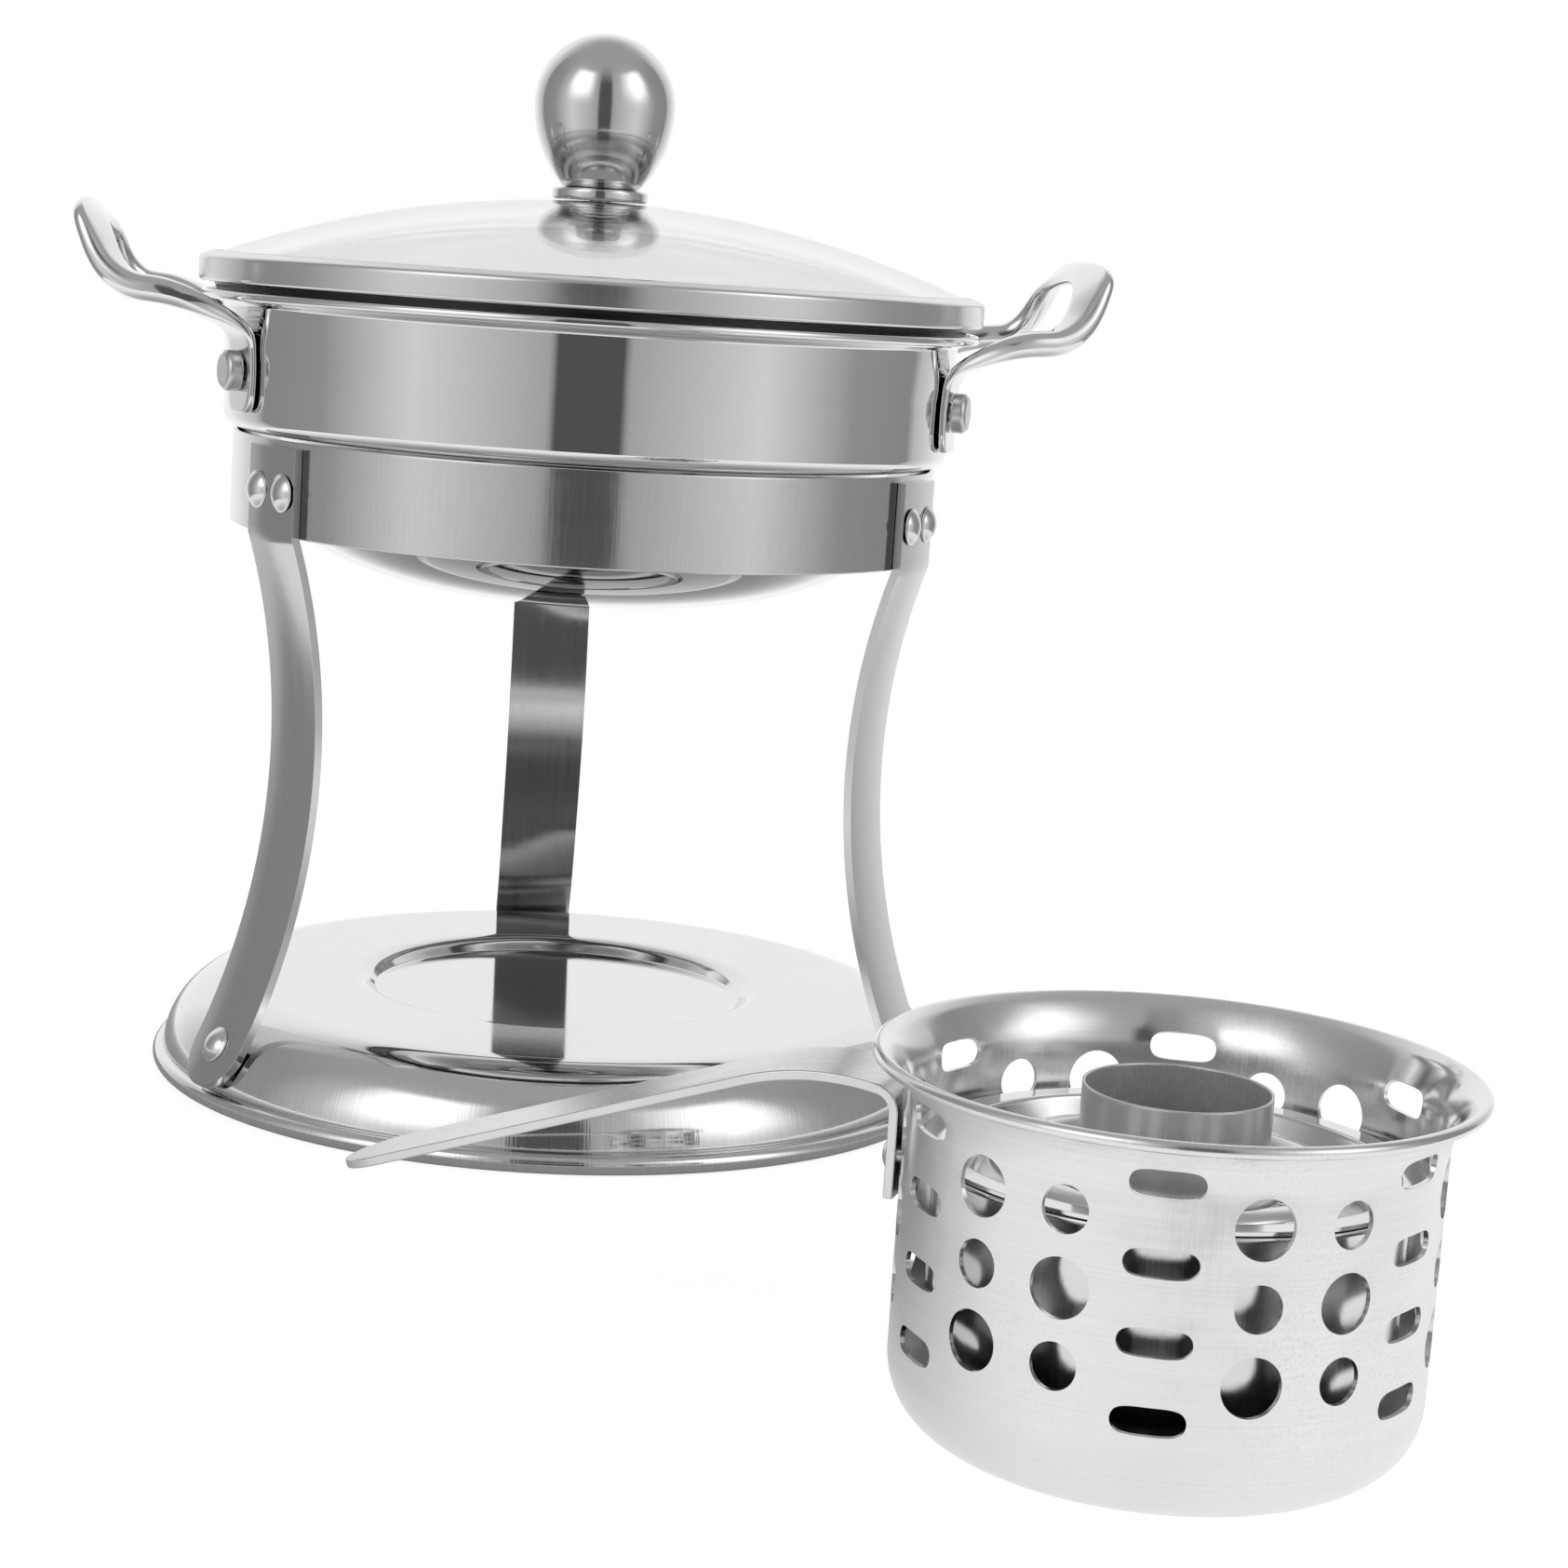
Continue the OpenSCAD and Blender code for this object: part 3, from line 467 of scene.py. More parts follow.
# Pot. One sheet of mirror-polished steel drawn into a bowl, with a sloping shoulder that sits on the
# ring, a straight wall above it, and a flange with a curled edge round the mouth.
neck = (78.0, 150.529)
bowl_depth = 34.5
bowl_fullness = 2.5
shoulder_bend = (83.3, 157.053)
wall_out = 86.3
flange_under = 183.453
flange_bend = (88.3, 181.453)
flange_curl = (91.35, 184.25, 1.15)
bowl_steps = 44


def bowl_point(k, inside):
    """A point on the bowl's full, flattened curve, or on its inner face."""
    turn = pi / 2 * (1 - k / bowl_steps)
    out = (neck[0] - inside) * cos(turn) ** (2 / bowl_fullness)
    return out, neck[1] - (bowl_depth - inside) * sin(turn) ** (2 / bowl_fullness)


pot = Outline(0, neck[1] - bowl_depth)
for k in range(1, bowl_steps + 1):
    pot.step(*bowl_point(k, 0))
pot.arc(*shoulder_bend, 3, -60, 0, 10)
pot.arc(*flange_bend, 2, 180, 90, 10)
pot.arc(*flange_curl, 225, 495, 22)
pot.arc(*flange_bend, 1, 90, 180, 8)
pot.arc(*shoulder_bend, 2, 0, -60, 8)
for k in range(bowl_steps, 0, -1):
    pot.step(*bowl_point(k, sheet))
pot.step(0, neck[1] - bowl_depth + sheet)
pot_finish = spun_steel("polished_pot", tone=0.75, gloss=0.03, ring_depth=0.3, smudge=0.6, drawn=0.06)
finished("pot", pot.lathe(), pot_finish, "pot", "polished_steel", "pot_body")

# Pot handles. Each is stamped from steel sheet: two flat feet on the pot's wall, arms rolled to a
# thick half-round rail, and a thinner grip that leans out as it rises. Two flat-headed rivets hold it.
foot_angle = 21
foot_half = degrees(asin(7.25 / wall_out))
foot_mid = wall_out / cos(radians(foot_half)) + 1.1
foot_low = flange_under - 25.5
grip_half = 28
reach = wall_out + 33


def on_wall(angle, out, up):
    """A point at an angle round the pot."""
    return Vector((out * cos(radians(angle)), out * sin(radians(angle)), up))


def on_loop(out, aside, up):
    """A point of the arms or the grip, from the loop's reach, its half width and the flange's underside."""
    return Vector((reach + out, -grip_half + aside, flange_under + up))


near, far = -foot_angle - foot_half, -foot_angle + foot_half
tip_near, tip_far = -foot_angle - 0.55 * foot_half, -foot_angle + 0.55 * foot_half
# Outer edge, inner edge and thickness, from a foot's tip to the middle of the grip
handle_half = [
    (on_wall(tip_near, foot_mid, foot_low), on_wall(tip_far, foot_mid, foot_low), 1.8),
    (on_wall(near, foot_mid, foot_low + 3), on_wall(far, foot_mid, foot_low + 3), 1.8),
    (on_wall(near, foot_mid, flange_under - 12), on_wall(far, foot_mid, flange_under - 12), 1.8),
    (on_wall(near, foot_mid + 2, flange_under - 6), on_wall(far, foot_mid + 2, flange_under - 6), 2.6),
    (on_loop(-28, -8, -1.2), on_loop(-26, 4, -1.8), 5.2),
    (on_loop(-20, -7.7, 0.8), on_loop(-19, 4.5, 0.8), 6.2),
    (on_loop(-11.8, -6.3, 1.8), on_loop(-13, 4.7, 1.6), 6.2),
    (on_loop(-5, -4, 6.2), on_loop(-9.3, 5.5, 5.6), 5.6),
    (on_loop(-0.9, -1, 13.8), on_loop(-7.1, 8.5, 11.5), 4.2),
    (on_loop(0.6, 4.5, 19), on_loop(-5.5, 16, 14.7), 3.2),
    (on_loop(0, grip_half, 20.5), on_loop(-4.7, grip_half, 15.7), 3.1),
]
flip = Matrix.Scale(-1, 3, (0, 1, 0))
handle_loop = handle_half + [(flip @ a, flip @ b, t) for a, b, t in handle_half[-2::-1]]


def smooth(a, b, c, d, t):
    """A value between b and c on a smooth curve through all four."""
    bends = (2 * a - 5 * b + 4 * c - d) * t ** 2
    turns = (3 * b - a - 3 * c + d) * t ** 3
    return 0.5 * (2 * b + (c - a) * t + bends + turns)


def loop_handle(turn, between=3):
    """Sections placed along the handle and bridged to one another, closed at the two feet."""
    count = len(handle_loop)
    stations = []
    for k in range(count - 1):
        four = [handle_loop[min(max(k + j, 0), count - 1)] for j in (-1, 0, 1, 2)]
        for i in range(between):
            stations.append([smooth(*(s[part] for s in four), i / between) for part in range(3)])
    stations.append(list(handle_loop[-1]))
    middles = [(a + b) / 2 for a, b, t in stations]
    shape = bmesh.new()
    last = None
    for k, (outer, inner, thick) in enumerate(stations):
        travel = middles[min(k + 1, len(middles) - 1)] - middles[max(k - 1, 0)]
        across = (inner - outer).normalized()
        up = travel.cross(across).normalized()
        straight = (inner - outer).length / 2 - thick / 2
        closed = k in (0, len(stations) - 1)
        ring = bmesh.ops.create_circle(shape, cap_ends=closed, segments=16, radius=1)["verts"]
        bmesh.ops.rotate(shape, verts=ring, cent=(0, 0, 0), matrix=Matrix.Rotation(pi / 16, 3, "Z"))
        for vert in ring:
            side = vert.co.x * thick / 2 + (straight if vert.co.x > 0 else -straight)
            vert.co = (middles[k] + across * side + up * (vert.co.y * thick / 2)) * mm
        hoop = [e for e in shape.edges if e.verts[0] in ring and e.verts[1] in ring]
        if last:
            bmesh.ops.bridge_loops(shape, edges=last + hoop)
        last = hoop
    bmesh.ops.recalc_face_normals(shape, faces=shape.faces)
    return moved(shape, Matrix.Rotation(radians(turn), 4, "Z"))


def round_off(piece, levels):
    """Rounds a coarse mesh by subdivision, as much in the view as in the render."""
    rounding = piece.modifiers.new("rounding", "SUBSURF")
    rounding.levels = rounding.render_levels = levels


handle_finish = spun_steel("polished_handle", tone=0.75, gloss=0.06, ring_depth=0.0, smudge=0.7, drawn=0.05)
flat_rivet_finish = rivet_steel("satin_rivet", tone=0.62, gloss=0.34)
handle_rivet_up = foot_low + 9.5
rivet_seat = foot_mid * cos(radians(foot_half)) + 1.25
rivet_edge = 0.9
flat_out, flat_high, shank_out, grip, tail_out, tail_low = 4.6, 3.4, 2.2, -4.2, 3.5, -5.4
for side, turn in (("left", 180), ("right", 0)):
    handle = finished("loop_handle_" + side, loop_handle(turn), handle_finish, "pot", "polished_steel",
                      "handle_" + side)
    round_off(handle, 1)
    flat_rivets = []
    for foot in (-foot_angle, foot_angle):
        rivet = Outline(0, flat_high)
        rivet.lines((flat_out - rivet_edge, flat_high), (flat_out, flat_high - rivet_edge), (flat_out, 0),
                    (shank_out, 0), (shank_out, grip), (tail_out, grip), (tail_out - 0.6, tail_low),
                    (0, tail_low))
        place = facing_out(turn + foot, rivet_seat, 0, handle_rivet_up)
        flat_rivets.append(moved(rivet.lathe(40), place))
    finished("flat_rivets_" + side, together(flat_rivets), flat_rivet_finish, "pot", "rivet_steel",
             "handle_rivets_" + side)

# Lid hoop. A band of thin bright steel rolled into a channel: a lip inside the pot, a step that rests
# on the flange, and an outer wall whose edge is folded over the glass.
hoop_sheet = 0.8
lip_out, lip_low, seat_up = 84.6, 180.753, 184.753
step_foot, step_head = (88.7, 184.753), (89.5, 186.953)
step_shift = 0.55
hoop_bend = (92.0, 187.953)
fold_bend, fold_turn = (hoop_bend[0] - 0.15, 191.97), 62
dome = (0, -22.74)
fold, fold_start, fold_end = 234.647, 67.0, 67.42
hoop = Outline(lip_out, lip_low)
hoop.arc(lip_out + 1, seat_up - 1, 1, 180, 90, 6)
hoop.lines(step_foot, step_head)
hoop.arc(*hoop_bend, 1, -90, 0, 8)
hoop.arc(*fold_bend, 1.15, 0, fold_turn, 8)
hoop.arc(*dome, fold, fold_start, fold_end, 3)
hoop.arc(*dome, fold - hoop_sheet, fold_end, fold_start, 3)
hoop.arc(*fold_bend, 0.35, fold_turn, 0, 4)
hoop.arc(*hoop_bend, 0.2, 0, -90, 4)
for out, up in (step_head, step_foot):
    hoop.line(out - step_shift, up + hoop_sheet)
hoop.arc(lip_out + 1.9, seat_up - 1.1, 1.9, 90, 180, 6)
hoop.lines((lip_out + hoop_sheet, lip_low), (lip_out, lip_low))
# The hoop's colour is darkened below 186.6 mm: painted shade in the gap between the hoop and the pot's flange
hoop_finish = spun_steel("satin_hoop", tone=0.72, gloss=0.22, ring_depth=0.8, drawn=0.1,
                         painted_shade_height=186.6 * mm)
finished("hoop", hoop.lathe(), hoop_finish, "lid", "polished_steel", "lid_hoop")

# Lid glass. A disc of clear tempered glass 4 mm thick, slumped to a shallow dome, with a drilled hole
# for the knob's screw and its edge ground round. It lies in the hoop's channel.
glass_out, glass_thick, crown = 91.6, 4.0, 233.697
hole_out = 2.6
glass_edge = 0.8


def glass_turn(out, radius):
    """The angle on a face of the dome at some distance from its axis."""
    return 90 - degrees(asin(out / radius))


def glass_up(out, radius):
    """The height of a face of the dome at some distance from its axis."""
    return dome[1] + sqrt(radius ** 2 - out ** 2)


under = crown - glass_thick
edge_in = glass_out - glass_edge
glass = Outline(hole_out, glass_up(hole_out, crown))
glass.arc(*dome, crown, glass_turn(hole_out, crown), glass_turn(edge_in, crown), 60)
glass.step(glass_out - 0.2, glass_up(glass_out, crown) - 0.4)
glass.step(glass_out, glass_up(glass_out, crown) - glass_edge)
glass.step(glass_out, glass_up(glass_out, under) + glass_edge)
glass.step(glass_out - 0.2, glass_up(glass_out, under) + 0.35)
glass.arc(*dome, under, glass_turn(edge_in, under), glass_turn(hole_out, under), 60)
glass.step(hole_out, glass_up(hole_out, crown))

glass_finish = bpy.data.materials.new("clear_dome")
clear = Shader(glass_finish)
wiped = clear.noise(clear.place(), scale=30, detail=5)
clear.finish(clear.surface({"Base Color": (0.998, 1.0, 0.999, 1), "Roughness": wiped * 0.02, "IOR": 1.48,
                            "Transmission Weight": 1.0}))
finished("glass_dome", glass.lathe(), glass_finish, "lid", "clear_glass", "lid_glass")

# Knob. An egg of polished steel with a blind bore, on a short collar. A screw with a broad head and a
# washer under the glass pulls it down, so the glass is clamped between washer and collar.
crown_up = dome[1] + crown
under_up = crown_up - glass_thick
knob_up, knob_out, knob_foot, knob_drop = 233.357, 16.6, 8.8, 19.5
knob_bore, knob_bore_top = 2.6, knob_up - 5.5
swell = 28.275
knob = Outline(0, knob_up + knob_out)
knob.arc(0, knob_up, knob_out, 90, 0, 36)
knob.arc(knob_out - swell, knob_up, swell, 0, -degrees(asin(knob_drop / swell)) + 0.6, 28)
knob.lines((knob_foot - 0.7, knob_up - knob_drop), (knob_bore, knob_up - knob_drop),
           (knob_bore, knob_bore_top), (0, knob_bore_top))
knob_finish = spun_steel("polished_knob", tone=0.72, gloss=0.1, ring_depth=0.4, drawn=0.05)
finished("knob", knob.lathe(96), knob_finish, "lid", "polished_steel", "lid_knob")

collar_low, collar_high, collar_out, chamfer = crown_up + fit, crown_up + 2.85, 11.4, 0.8
bore = 2.55
collar = Outline(bore, collar_low)
collar.arc(collar_out - chamfer, collar_low + chamfer, chamfer, -90, 0, 5)
collar.arc(collar_out - chamfer, collar_high - chamfer, chamfer, 0, 90, 5)
collar.lines((bore, collar_high), (bore, collar_low))
finished("collar", collar.lathe(96), knob_finish, "lid", "polished_steel", "knob_collar")

washer_high, washer_out, washer_thick = under_up - 0.2, 7.5, 1
washer = Outline(bore, washer_high)
washer.arc(washer_out - edge, washer_high - edge, edge, 90, 0, 4)
washer.arc(washer_out - edge, washer_high - washer_thick + edge, edge, 0, -90, 4)
washer.lines((bore, washer_high - washer_thick), (bore, washer_high))
finished("washer", washer.lathe(64), rivet_finish, "lid", "satin_steel", "knob_washer")

head_high, head_out, head_edge = washer_high - washer_thick - fit, 5.5, 2.0
head_low, socket_up, socket_in, socket_out = head_high - 3.4, head_high - 2.2, 1.4, 1.8
thread_out, thread_top = 2.5, crown_up + 2.9 + 13
screw = Outline(0, socket_up)
screw.lines((socket_in, socket_up), (socket_out, head_low))
screw.arc(head_out - head_edge, head_low + head_edge, head_edge, -90, 0, 12)
screw.lines((head_out, head_high), (thread_out, head_high), (thread_out, thread_top - 0.8),
            (thread_out - 0.8, thread_top), (0, thread_top))
finished("screw", screw.lathe(48), rivet_finish, "lid", "rivet_steel", "knob_screw")

# Burner cup. Half-bright steel drawn into a cup, pierced all round with columns of long slots and of
# round holes in two sizes, then flared at the mouth and its rim curled outwards.
burner_axis, burner_turn = (87 * mm, -246 * mm), 153
burner_place = Matrix.Translation((*burner_axis, 0)) @ Matrix.Rotation(radians(burner_turn), 4, "Z")
cup_out, cup_high, cup_sheet = 47.0, 68.0, 0.9
columns, cells, rows = 18, 4, 16
hole_first, hole_pitch = 9.0, 13.2
row_step = hole_pitch / cells
cell_turn = 360 / columns / cells
large_hole, small_hole, slot_length, slot_height = 10.4, 8.2, 12.6, 4.8
flare_start, flare, flare_turn = 58.1, 10.0, 61
bend = 12.0
# A ring of straight edges that is rounded by subdivision ends up this much smaller
shrink = (2 + cos(2 * pi / 16)) / 3


def wall_radius(up):
    """The cup's outside at a height: straight, then opening out along the flare."""
    if up <= flare_start:
        return cup_out
    return cup_out + flare - sqrt(flare ** 2 - (up - flare_start) ** 2)


def hole_corners(length, height):
    """Sixteen points round a hole with round ends, starting at its right and going round."""
    end = height / 2 / shrink
    straight = (length - height) / 2
    if straight == 0:
        return [(end * cos(2 * pi * k / 16), end * sin(2 * pi * k / 16)) for k in range(16)]
    right = [(straight + end * cos(radians(a)), end * sin(radians(a))) for a in (0, 34, 68)]
    quarter = right + [(straight / 2, height / 2 + 0.06), (0, height / 2)]
    half = quarter + [(-x, y) for x, y in quarter[-2::-1]]
    return half + [(x, -y) for x, y in half[-2:0:-1]]


cup = bmesh.new()
bmesh.ops.create_grid(cup, x_segments=columns * cells, y_segments=rows, size=0.5)
wall_low = cup_high - hole_first + hole_pitch / 2 - rows * row_step
bmesh.ops.scale(cup, vec=(columns * cells, rows, 1), verts=cup.verts)
bmesh.ops.translate(cup, vec=(columns * cells / 2, rows / 2, 0), verts=cup.verts)

# The flat sheet is pierced first: the cells round each hole become one patch, whose inset is the hole.
# Here a unit is one cell, and the sheet starts half a column before the first column of holes.
for column in range(columns):
    kind = column % 3
    middle = column * cells + cells / 2
    for row in range(4 if kind == 0 else 3):
        high = rows - row * cells - cells / 2 - (0 if kind == 0 else cells / 2)
        if kind == 0:
            corners = hole_corners(slot_length, slot_height)
        elif (row + kind) % 2 == 1:
            corners = hole_corners(large_hole, large_hole)
        else:
            corners = hole_corners(small_hole, small_hole)
        inner = [v for v in cup.verts if abs(v.co.x - middle) < cells / 2 - 0.5
                 and abs(v.co.y - high) < cells / 2 - 0.5]
        block = {f for v in inner for f in v.link_faces}
        border = list({e for f in block for e in f.edges if not any(v in inner for v in e.verts)})
        bmesh.ops.delete(cup, geom=inner, context="VERTS")
        patch = bmesh.ops.contextual_create(cup, geom=border)["faces"]
        bmesh.ops.inset_individual(cup, faces=patch, thickness=0.3)
        around = sorted(patch[0].verts,
                        key=lambda v: (atan2(v.co.y - high, v.co.x - middle) + 0.1) % (2 * pi))
        for vert, (x, y) in zip(around, corners):
            vert.co = (middle + degrees(x / cup_out) / cell_turn, high + y / row_step, 0)
        bmesh.ops.delete(cup, geom=patch, context="FACES_ONLY")

# The pierced sheet is closed round the axis, and its two edges grow into the rim and the floor.
for vert in cup.verts:
    turn = radians((vert.co.x - cells / 2) * cell_turn - 360 / columns)
    up = wall_low + vert.co.y * row_step
    vert.co = (wall_radius(up) * cos(turn) * mm, wall_radius(up) * sin(turn) * mm, up * mm)
bmesh.ops.remove_doubles(cup, verts=cup.verts, dist=0.01 * mm)


def extruded(shape, loop):
    """The points and edges of a new loop, joined to the last one by a ring of faces."""
    added = bmesh.ops.extrude_edge_only(shape, edges=loop)["geom"]
    kinds = (bmesh.types.BMVert, bmesh.types.BMEdge)
    return [[new for new in added if isinstance(new, kind)] for kind in kinds]


def grown(shape, loop, out, up):
    """A loop grown to another radius and height."""
    verts, edges = extruded(shape, loop)
    for vert in verts:
        factor = out * mm / hypot(vert.co.x, vert.co.y)
        vert.co = (vert.co.x * factor, vert.co.y * factor, up * mm)
    return edges


def open_ring(shape, up):
    """The open edges of a shape at one height."""
    return [e for e in shape.edges
            if e.is_boundary and all(abs(v.co.z - up * mm) < 0.01 * mm for v in e.verts)]


def flare_point(turn):
    """A point on the outside of the flare, by the angle along it."""
    return cup_out + flare * (1 - cos(radians(turn))), flare_start + flare * sin(radians(turn))


rim = open_ring(cup, wall_low + rows * row_step)
for turn in (53, flare_turn):
    rim = grown(cup, rim, *flare_point(turn))
rim_curl = 0.25
rim_out, rim_up = flare_point(flare_turn)
rim_middle = (rim_out + rim_curl * cos(radians(flare_turn)), rim_up - rim_curl * sin(radians(flare_turn)))
for turn in range(45, 315, 45):
    around = radians(180 - flare_turn - turn)
    rim = grown(cup, rim, rim_middle[0] + rim_curl * cos(around), rim_middle[1] + rim_curl * sin(around))
floor = open_ring(cup, wall_low)
for turn in (0, 15, 33, 50, 67, 82, 90):
    floor = grown(cup, floor, cup_out - bend * (1 - cos(radians(turn))), bend * (1 - sin(radians(turn))))
for out in (33.5, 20, 6):
    floor = grown(cup, floor, out, 0)
bmesh.ops.contextual_create(cup, geom=floor)
bmesh.ops.recalc_face_normals(cup, faces=cup.faces)
if min(cup.faces, key=lambda f: f.calc_center_median().z).normal.z > 0:
    bmesh.ops.reverse_faces(cup, faces=cup.faces)
cup_finish = spun_steel("half_bright_cup", tone=0.76, gloss=0.2, ring_depth=1.5, smudge=1.3,
                        axis=burner_axis, lean=0.75, grain=0.14)
burner_cup = finished("pierced_cup", moved(cup, burner_place), cup_finish, "burner", "cup_steel",
                      "burner_cup")
round_off(burner_cup, 2)
thicken(burner_cup, cup_sheet)
soften(burner_cup, 0.12)

# Burner handle. A flat satin strap bent to stand off the cup's side: a tab riveted to the wall, a
# tight bend, an arch under the rim and a long straight grip with a round end.
tab_face, tab_low, tab_high = 47.05, 38.0, 53.5
tab_bend, arch, arch_rise, grip_slope, grip_length = 5.0, 50.0, 10, 20, 85.0
strap_width, strap_thick = 20, 1.8
bend_middle = (tab_face + tab_bend, tab_high)
arch_start = radians(90 + arch_rise)
arch_middle = (bend_middle[0] + (tab_bend - arch) * cos(arch_start),
               bend_middle[1] + (tab_bend - arch) * sin(arch_start))
bend_turn, arch_turn = radians(90 - arch_rise), radians(arch_rise + grip_slope)
tab_run = tab_high - tab_low
bend_run = tab_run + tab_bend * bend_turn
arch_run = bend_run + arch * arch_turn
grip_turn = radians(grip_slope)


def handle_path(run):
    """The face that lies on the cup and becomes the grip's top: tab, tight bend, arch and grip."""
    if run < tab_run:
        return tab_face, tab_low + run
    if run < bend_run:
        turn = pi - (run - tab_run) / tab_bend
        return bend_middle[0] + tab_bend * cos(turn), bend_middle[1] + tab_bend * sin(turn)
    if run < arch_run:
        turn = arch_start - (run - bend_run) / arch
        return arch_middle[0] + arch * cos(turn), arch_middle[1] + arch * sin(turn)
    return (arch_middle[0] + arch * sin(grip_turn) + (run - arch_run) * cos(grip_turn),
            arch_middle[1] + arch * cos(grip_turn) - (run - arch_run) * sin(grip_turn))


grip_finish = strap_steel("satin_handle", tone=0.7, gloss=0.26)
bent_strap("strap_handle", strap_blank(arch_run + grip_length, strap_width, 110), handle_path, burner_place,
           strap_thick, grip_finish, "burner", "burner_handle")
tab_rivets = []
for aside in (-rivet_aside, rivet_aside):
    place = burner_place @ facing_out(0, tab_face + strap_thick + fit, aside, tab_low + 7.3)
    tab_rivets.append(domed_rivet(place, head_d=7, head_h=1.6, shank_r=1.6, grip=3.7, tail_d=5.4))
finished("tab_rivets", together(tab_rivets), rivet_finish, "burner", "rivet_steel", "burner_handle_rivets")

# Fuel bowl. A plain round-bottomed bowl of thin steel that stands loose in the cup. Its narrow rim
# carries the head.
bowl_sheet = 0.8
bowl_floor, bowl_bend, bowl_out, bowl_rim_out, bowl_rim_up = 1.2, 24.0, 41.3, 43.7, 50.0
rim_bend = 0.6
bottom_middle = (bowl_out - bowl_bend, bowl_floor + bowl_bend)
bend_under_rim = (bowl_out + rim_bend, bowl_rim_up - bowl_sheet - rim_bend)
fuel = Outline(0, bowl_floor)
fuel.arc(*bottom_middle, bowl_bend, -90, 0, 24)
fuel.arc(*bend_under_rim, rim_bend, 180, 90, 5)
fuel.lines((bowl_rim_out, bowl_rim_up - bowl_sheet), (bowl_rim_out, bowl_rim_up))
fuel.arc(*bend_under_rim, rim_bend + bowl_sheet, 90, 180, 6)
fuel.arc(*bottom_middle, bowl_bend - bowl_sheet, 0, -90, 24)
fuel.line(0, bowl_floor + bowl_sheet)
bowl_finish = spun_steel("half_bright_bowl", tone=0.7, gloss=0.2, ring_depth=1.5, smudge=1.0,
                         axis=burner_axis, lean=0.5, grain=0.12)
finished("fuel_bowl_drawn", moved(fuel.lathe(128), burner_place), bowl_finish, "fuel_holder", "cup_steel",
         "fuel_bowl")

# Wire gauze. Dark crimped wires woven over and under one another, cut to a disc and bound by a wire
# hoop, which is tacked to the underside of the burner's head.
gauze_up, gauze_out, gauze_pitch, wire, crimp_high = 43.2, 38.2, 5.0, 0.4, 0.42
gauze = bmesh.new()


def woven_wire(aside, turn, phase):
    """One crimped wire across the disc, drawn along +X and turned into place."""
    half = sqrt((gauze_out - wire) ** 2 - aside ** 2)
    runs = int(2 * half / (gauze_pitch / 4))
    ring = bmesh.ops.create_circle(gauze, cap_ends=True, segments=6, radius=wire * mm,
                                   matrix=Matrix.Rotation(pi / 2, 4, "Y"))["verts"]
    made = list(ring)
    loop = [e for e in gauze.edges if e.verts[0] in ring and e.verts[1] in ring]

    def crimp(out):
        return phase * crimp_high * cos(pi * out / gauze_pitch)

    bmesh.ops.translate(gauze, vec=(-half * mm, aside * mm, (gauze_up + crimp(-half)) * mm), verts=ring)
    for k in range(runs):
        here, there = -half + 2 * half * k / runs, -half + 2 * half * (k + 1) / runs
        rise = crimp(there) - crimp(here)
        ring, loop = extruded(gauze, loop)
        bmesh.ops.translate(gauze, vec=((there - here) * mm, 0, rise * mm), verts=ring)
        made += ring
    bmesh.ops.contextual_create(gauze, geom=loop)
    bmesh.ops.rotate(gauze, verts=made, cent=(0, 0, 0), matrix=Matrix.Rotation(radians(turn), 3, "Z"))


lines = int(gauze_out / gauze_pitch)
for line in range(-lines, lines + 1):
    phase = 1 if line % 2 == 0 else -1
    woven_wire(line * gauze_pitch, 0, phase)
    woven_wire(line * gauze_pitch, 90, -phase)
gauze_hoop = Outline(gauze_out + wire, gauze_up)
gauze_hoop.arc(gauze_out - 0.2, gauze_up, 0.6, 0, 360, 8)
gauze_shape = together([gauze, gauze_hoop.lathe(96)])
bmesh.ops.recalc_face_normals(gauze_shape, faces=gauze_shape.faces)
wire_finish = rivet_steel("dark_wire", tone=0.34, gloss=0.38)
finished("woven_gauze", moved(gauze_shape, burner_place), wire_finish, "flame_head", "dark_wire",
         "wire_gauze")

# Burner head. A steel pressing that closes the fuel bowl: a flange on the bowl's rim, a moat, a round
# ridge, and a floor with a ring of slots round the chimney's hole.
head_sheet = 0.8
head_up, head_floor, moat_floor = 51.1, 46.1, 44.9
head_steps, head_slots = 144, 18
slot_in, slot_out, slot_half, slot_reach = 19.5, 25.5, 2.1, radians(5)
hole_edge, ridge_foot, ridge_middle, ridge = 16.0, 25.65, 29.5, 3.5
moat_in, moat_out, moat_bend, flange_in, flange_fold = 35.2, 36.5, 0.8, 39.8, 0.9
head = Outline(hole_edge, head_floor)
head.line(slot_in, head_floor)
head.step(slot_out, head_floor)
head.arc(ridge_foot, head_floor + 0.5, 0.5, -90, -3, 4)
head.arc(ridge_middle, head_floor + 0.7, ridge, 168, 20, 18)
head.arc(moat_in, moat_floor + moat_bend, moat_bend, 215, 270, 5)
head.arc(moat_out, moat_floor + moat_bend, moat_bend, 270, 345, 6)
head.arc(flange_in, head_up - flange_fold, flange_fold, 165, 90, 6)
head.line(bowl_rim_out, head_up)
head_shape = head.lathe(head_steps)
head_turn = 2 * pi / head_slots


def slot_angle(vert):
    """The angle of a point from the middle of its nearest slot."""
    turn = atan2(vert.co.y, vert.co.x)
    return turn - round(turn / head_turn) * head_turn


def in_slot_band(vert):
    """Whether a point lies on the floor between the slots' ends."""
    return slot_in - 0.01 < hypot(vert.co.x, vert.co.y) / mm < slot_out + 0.01


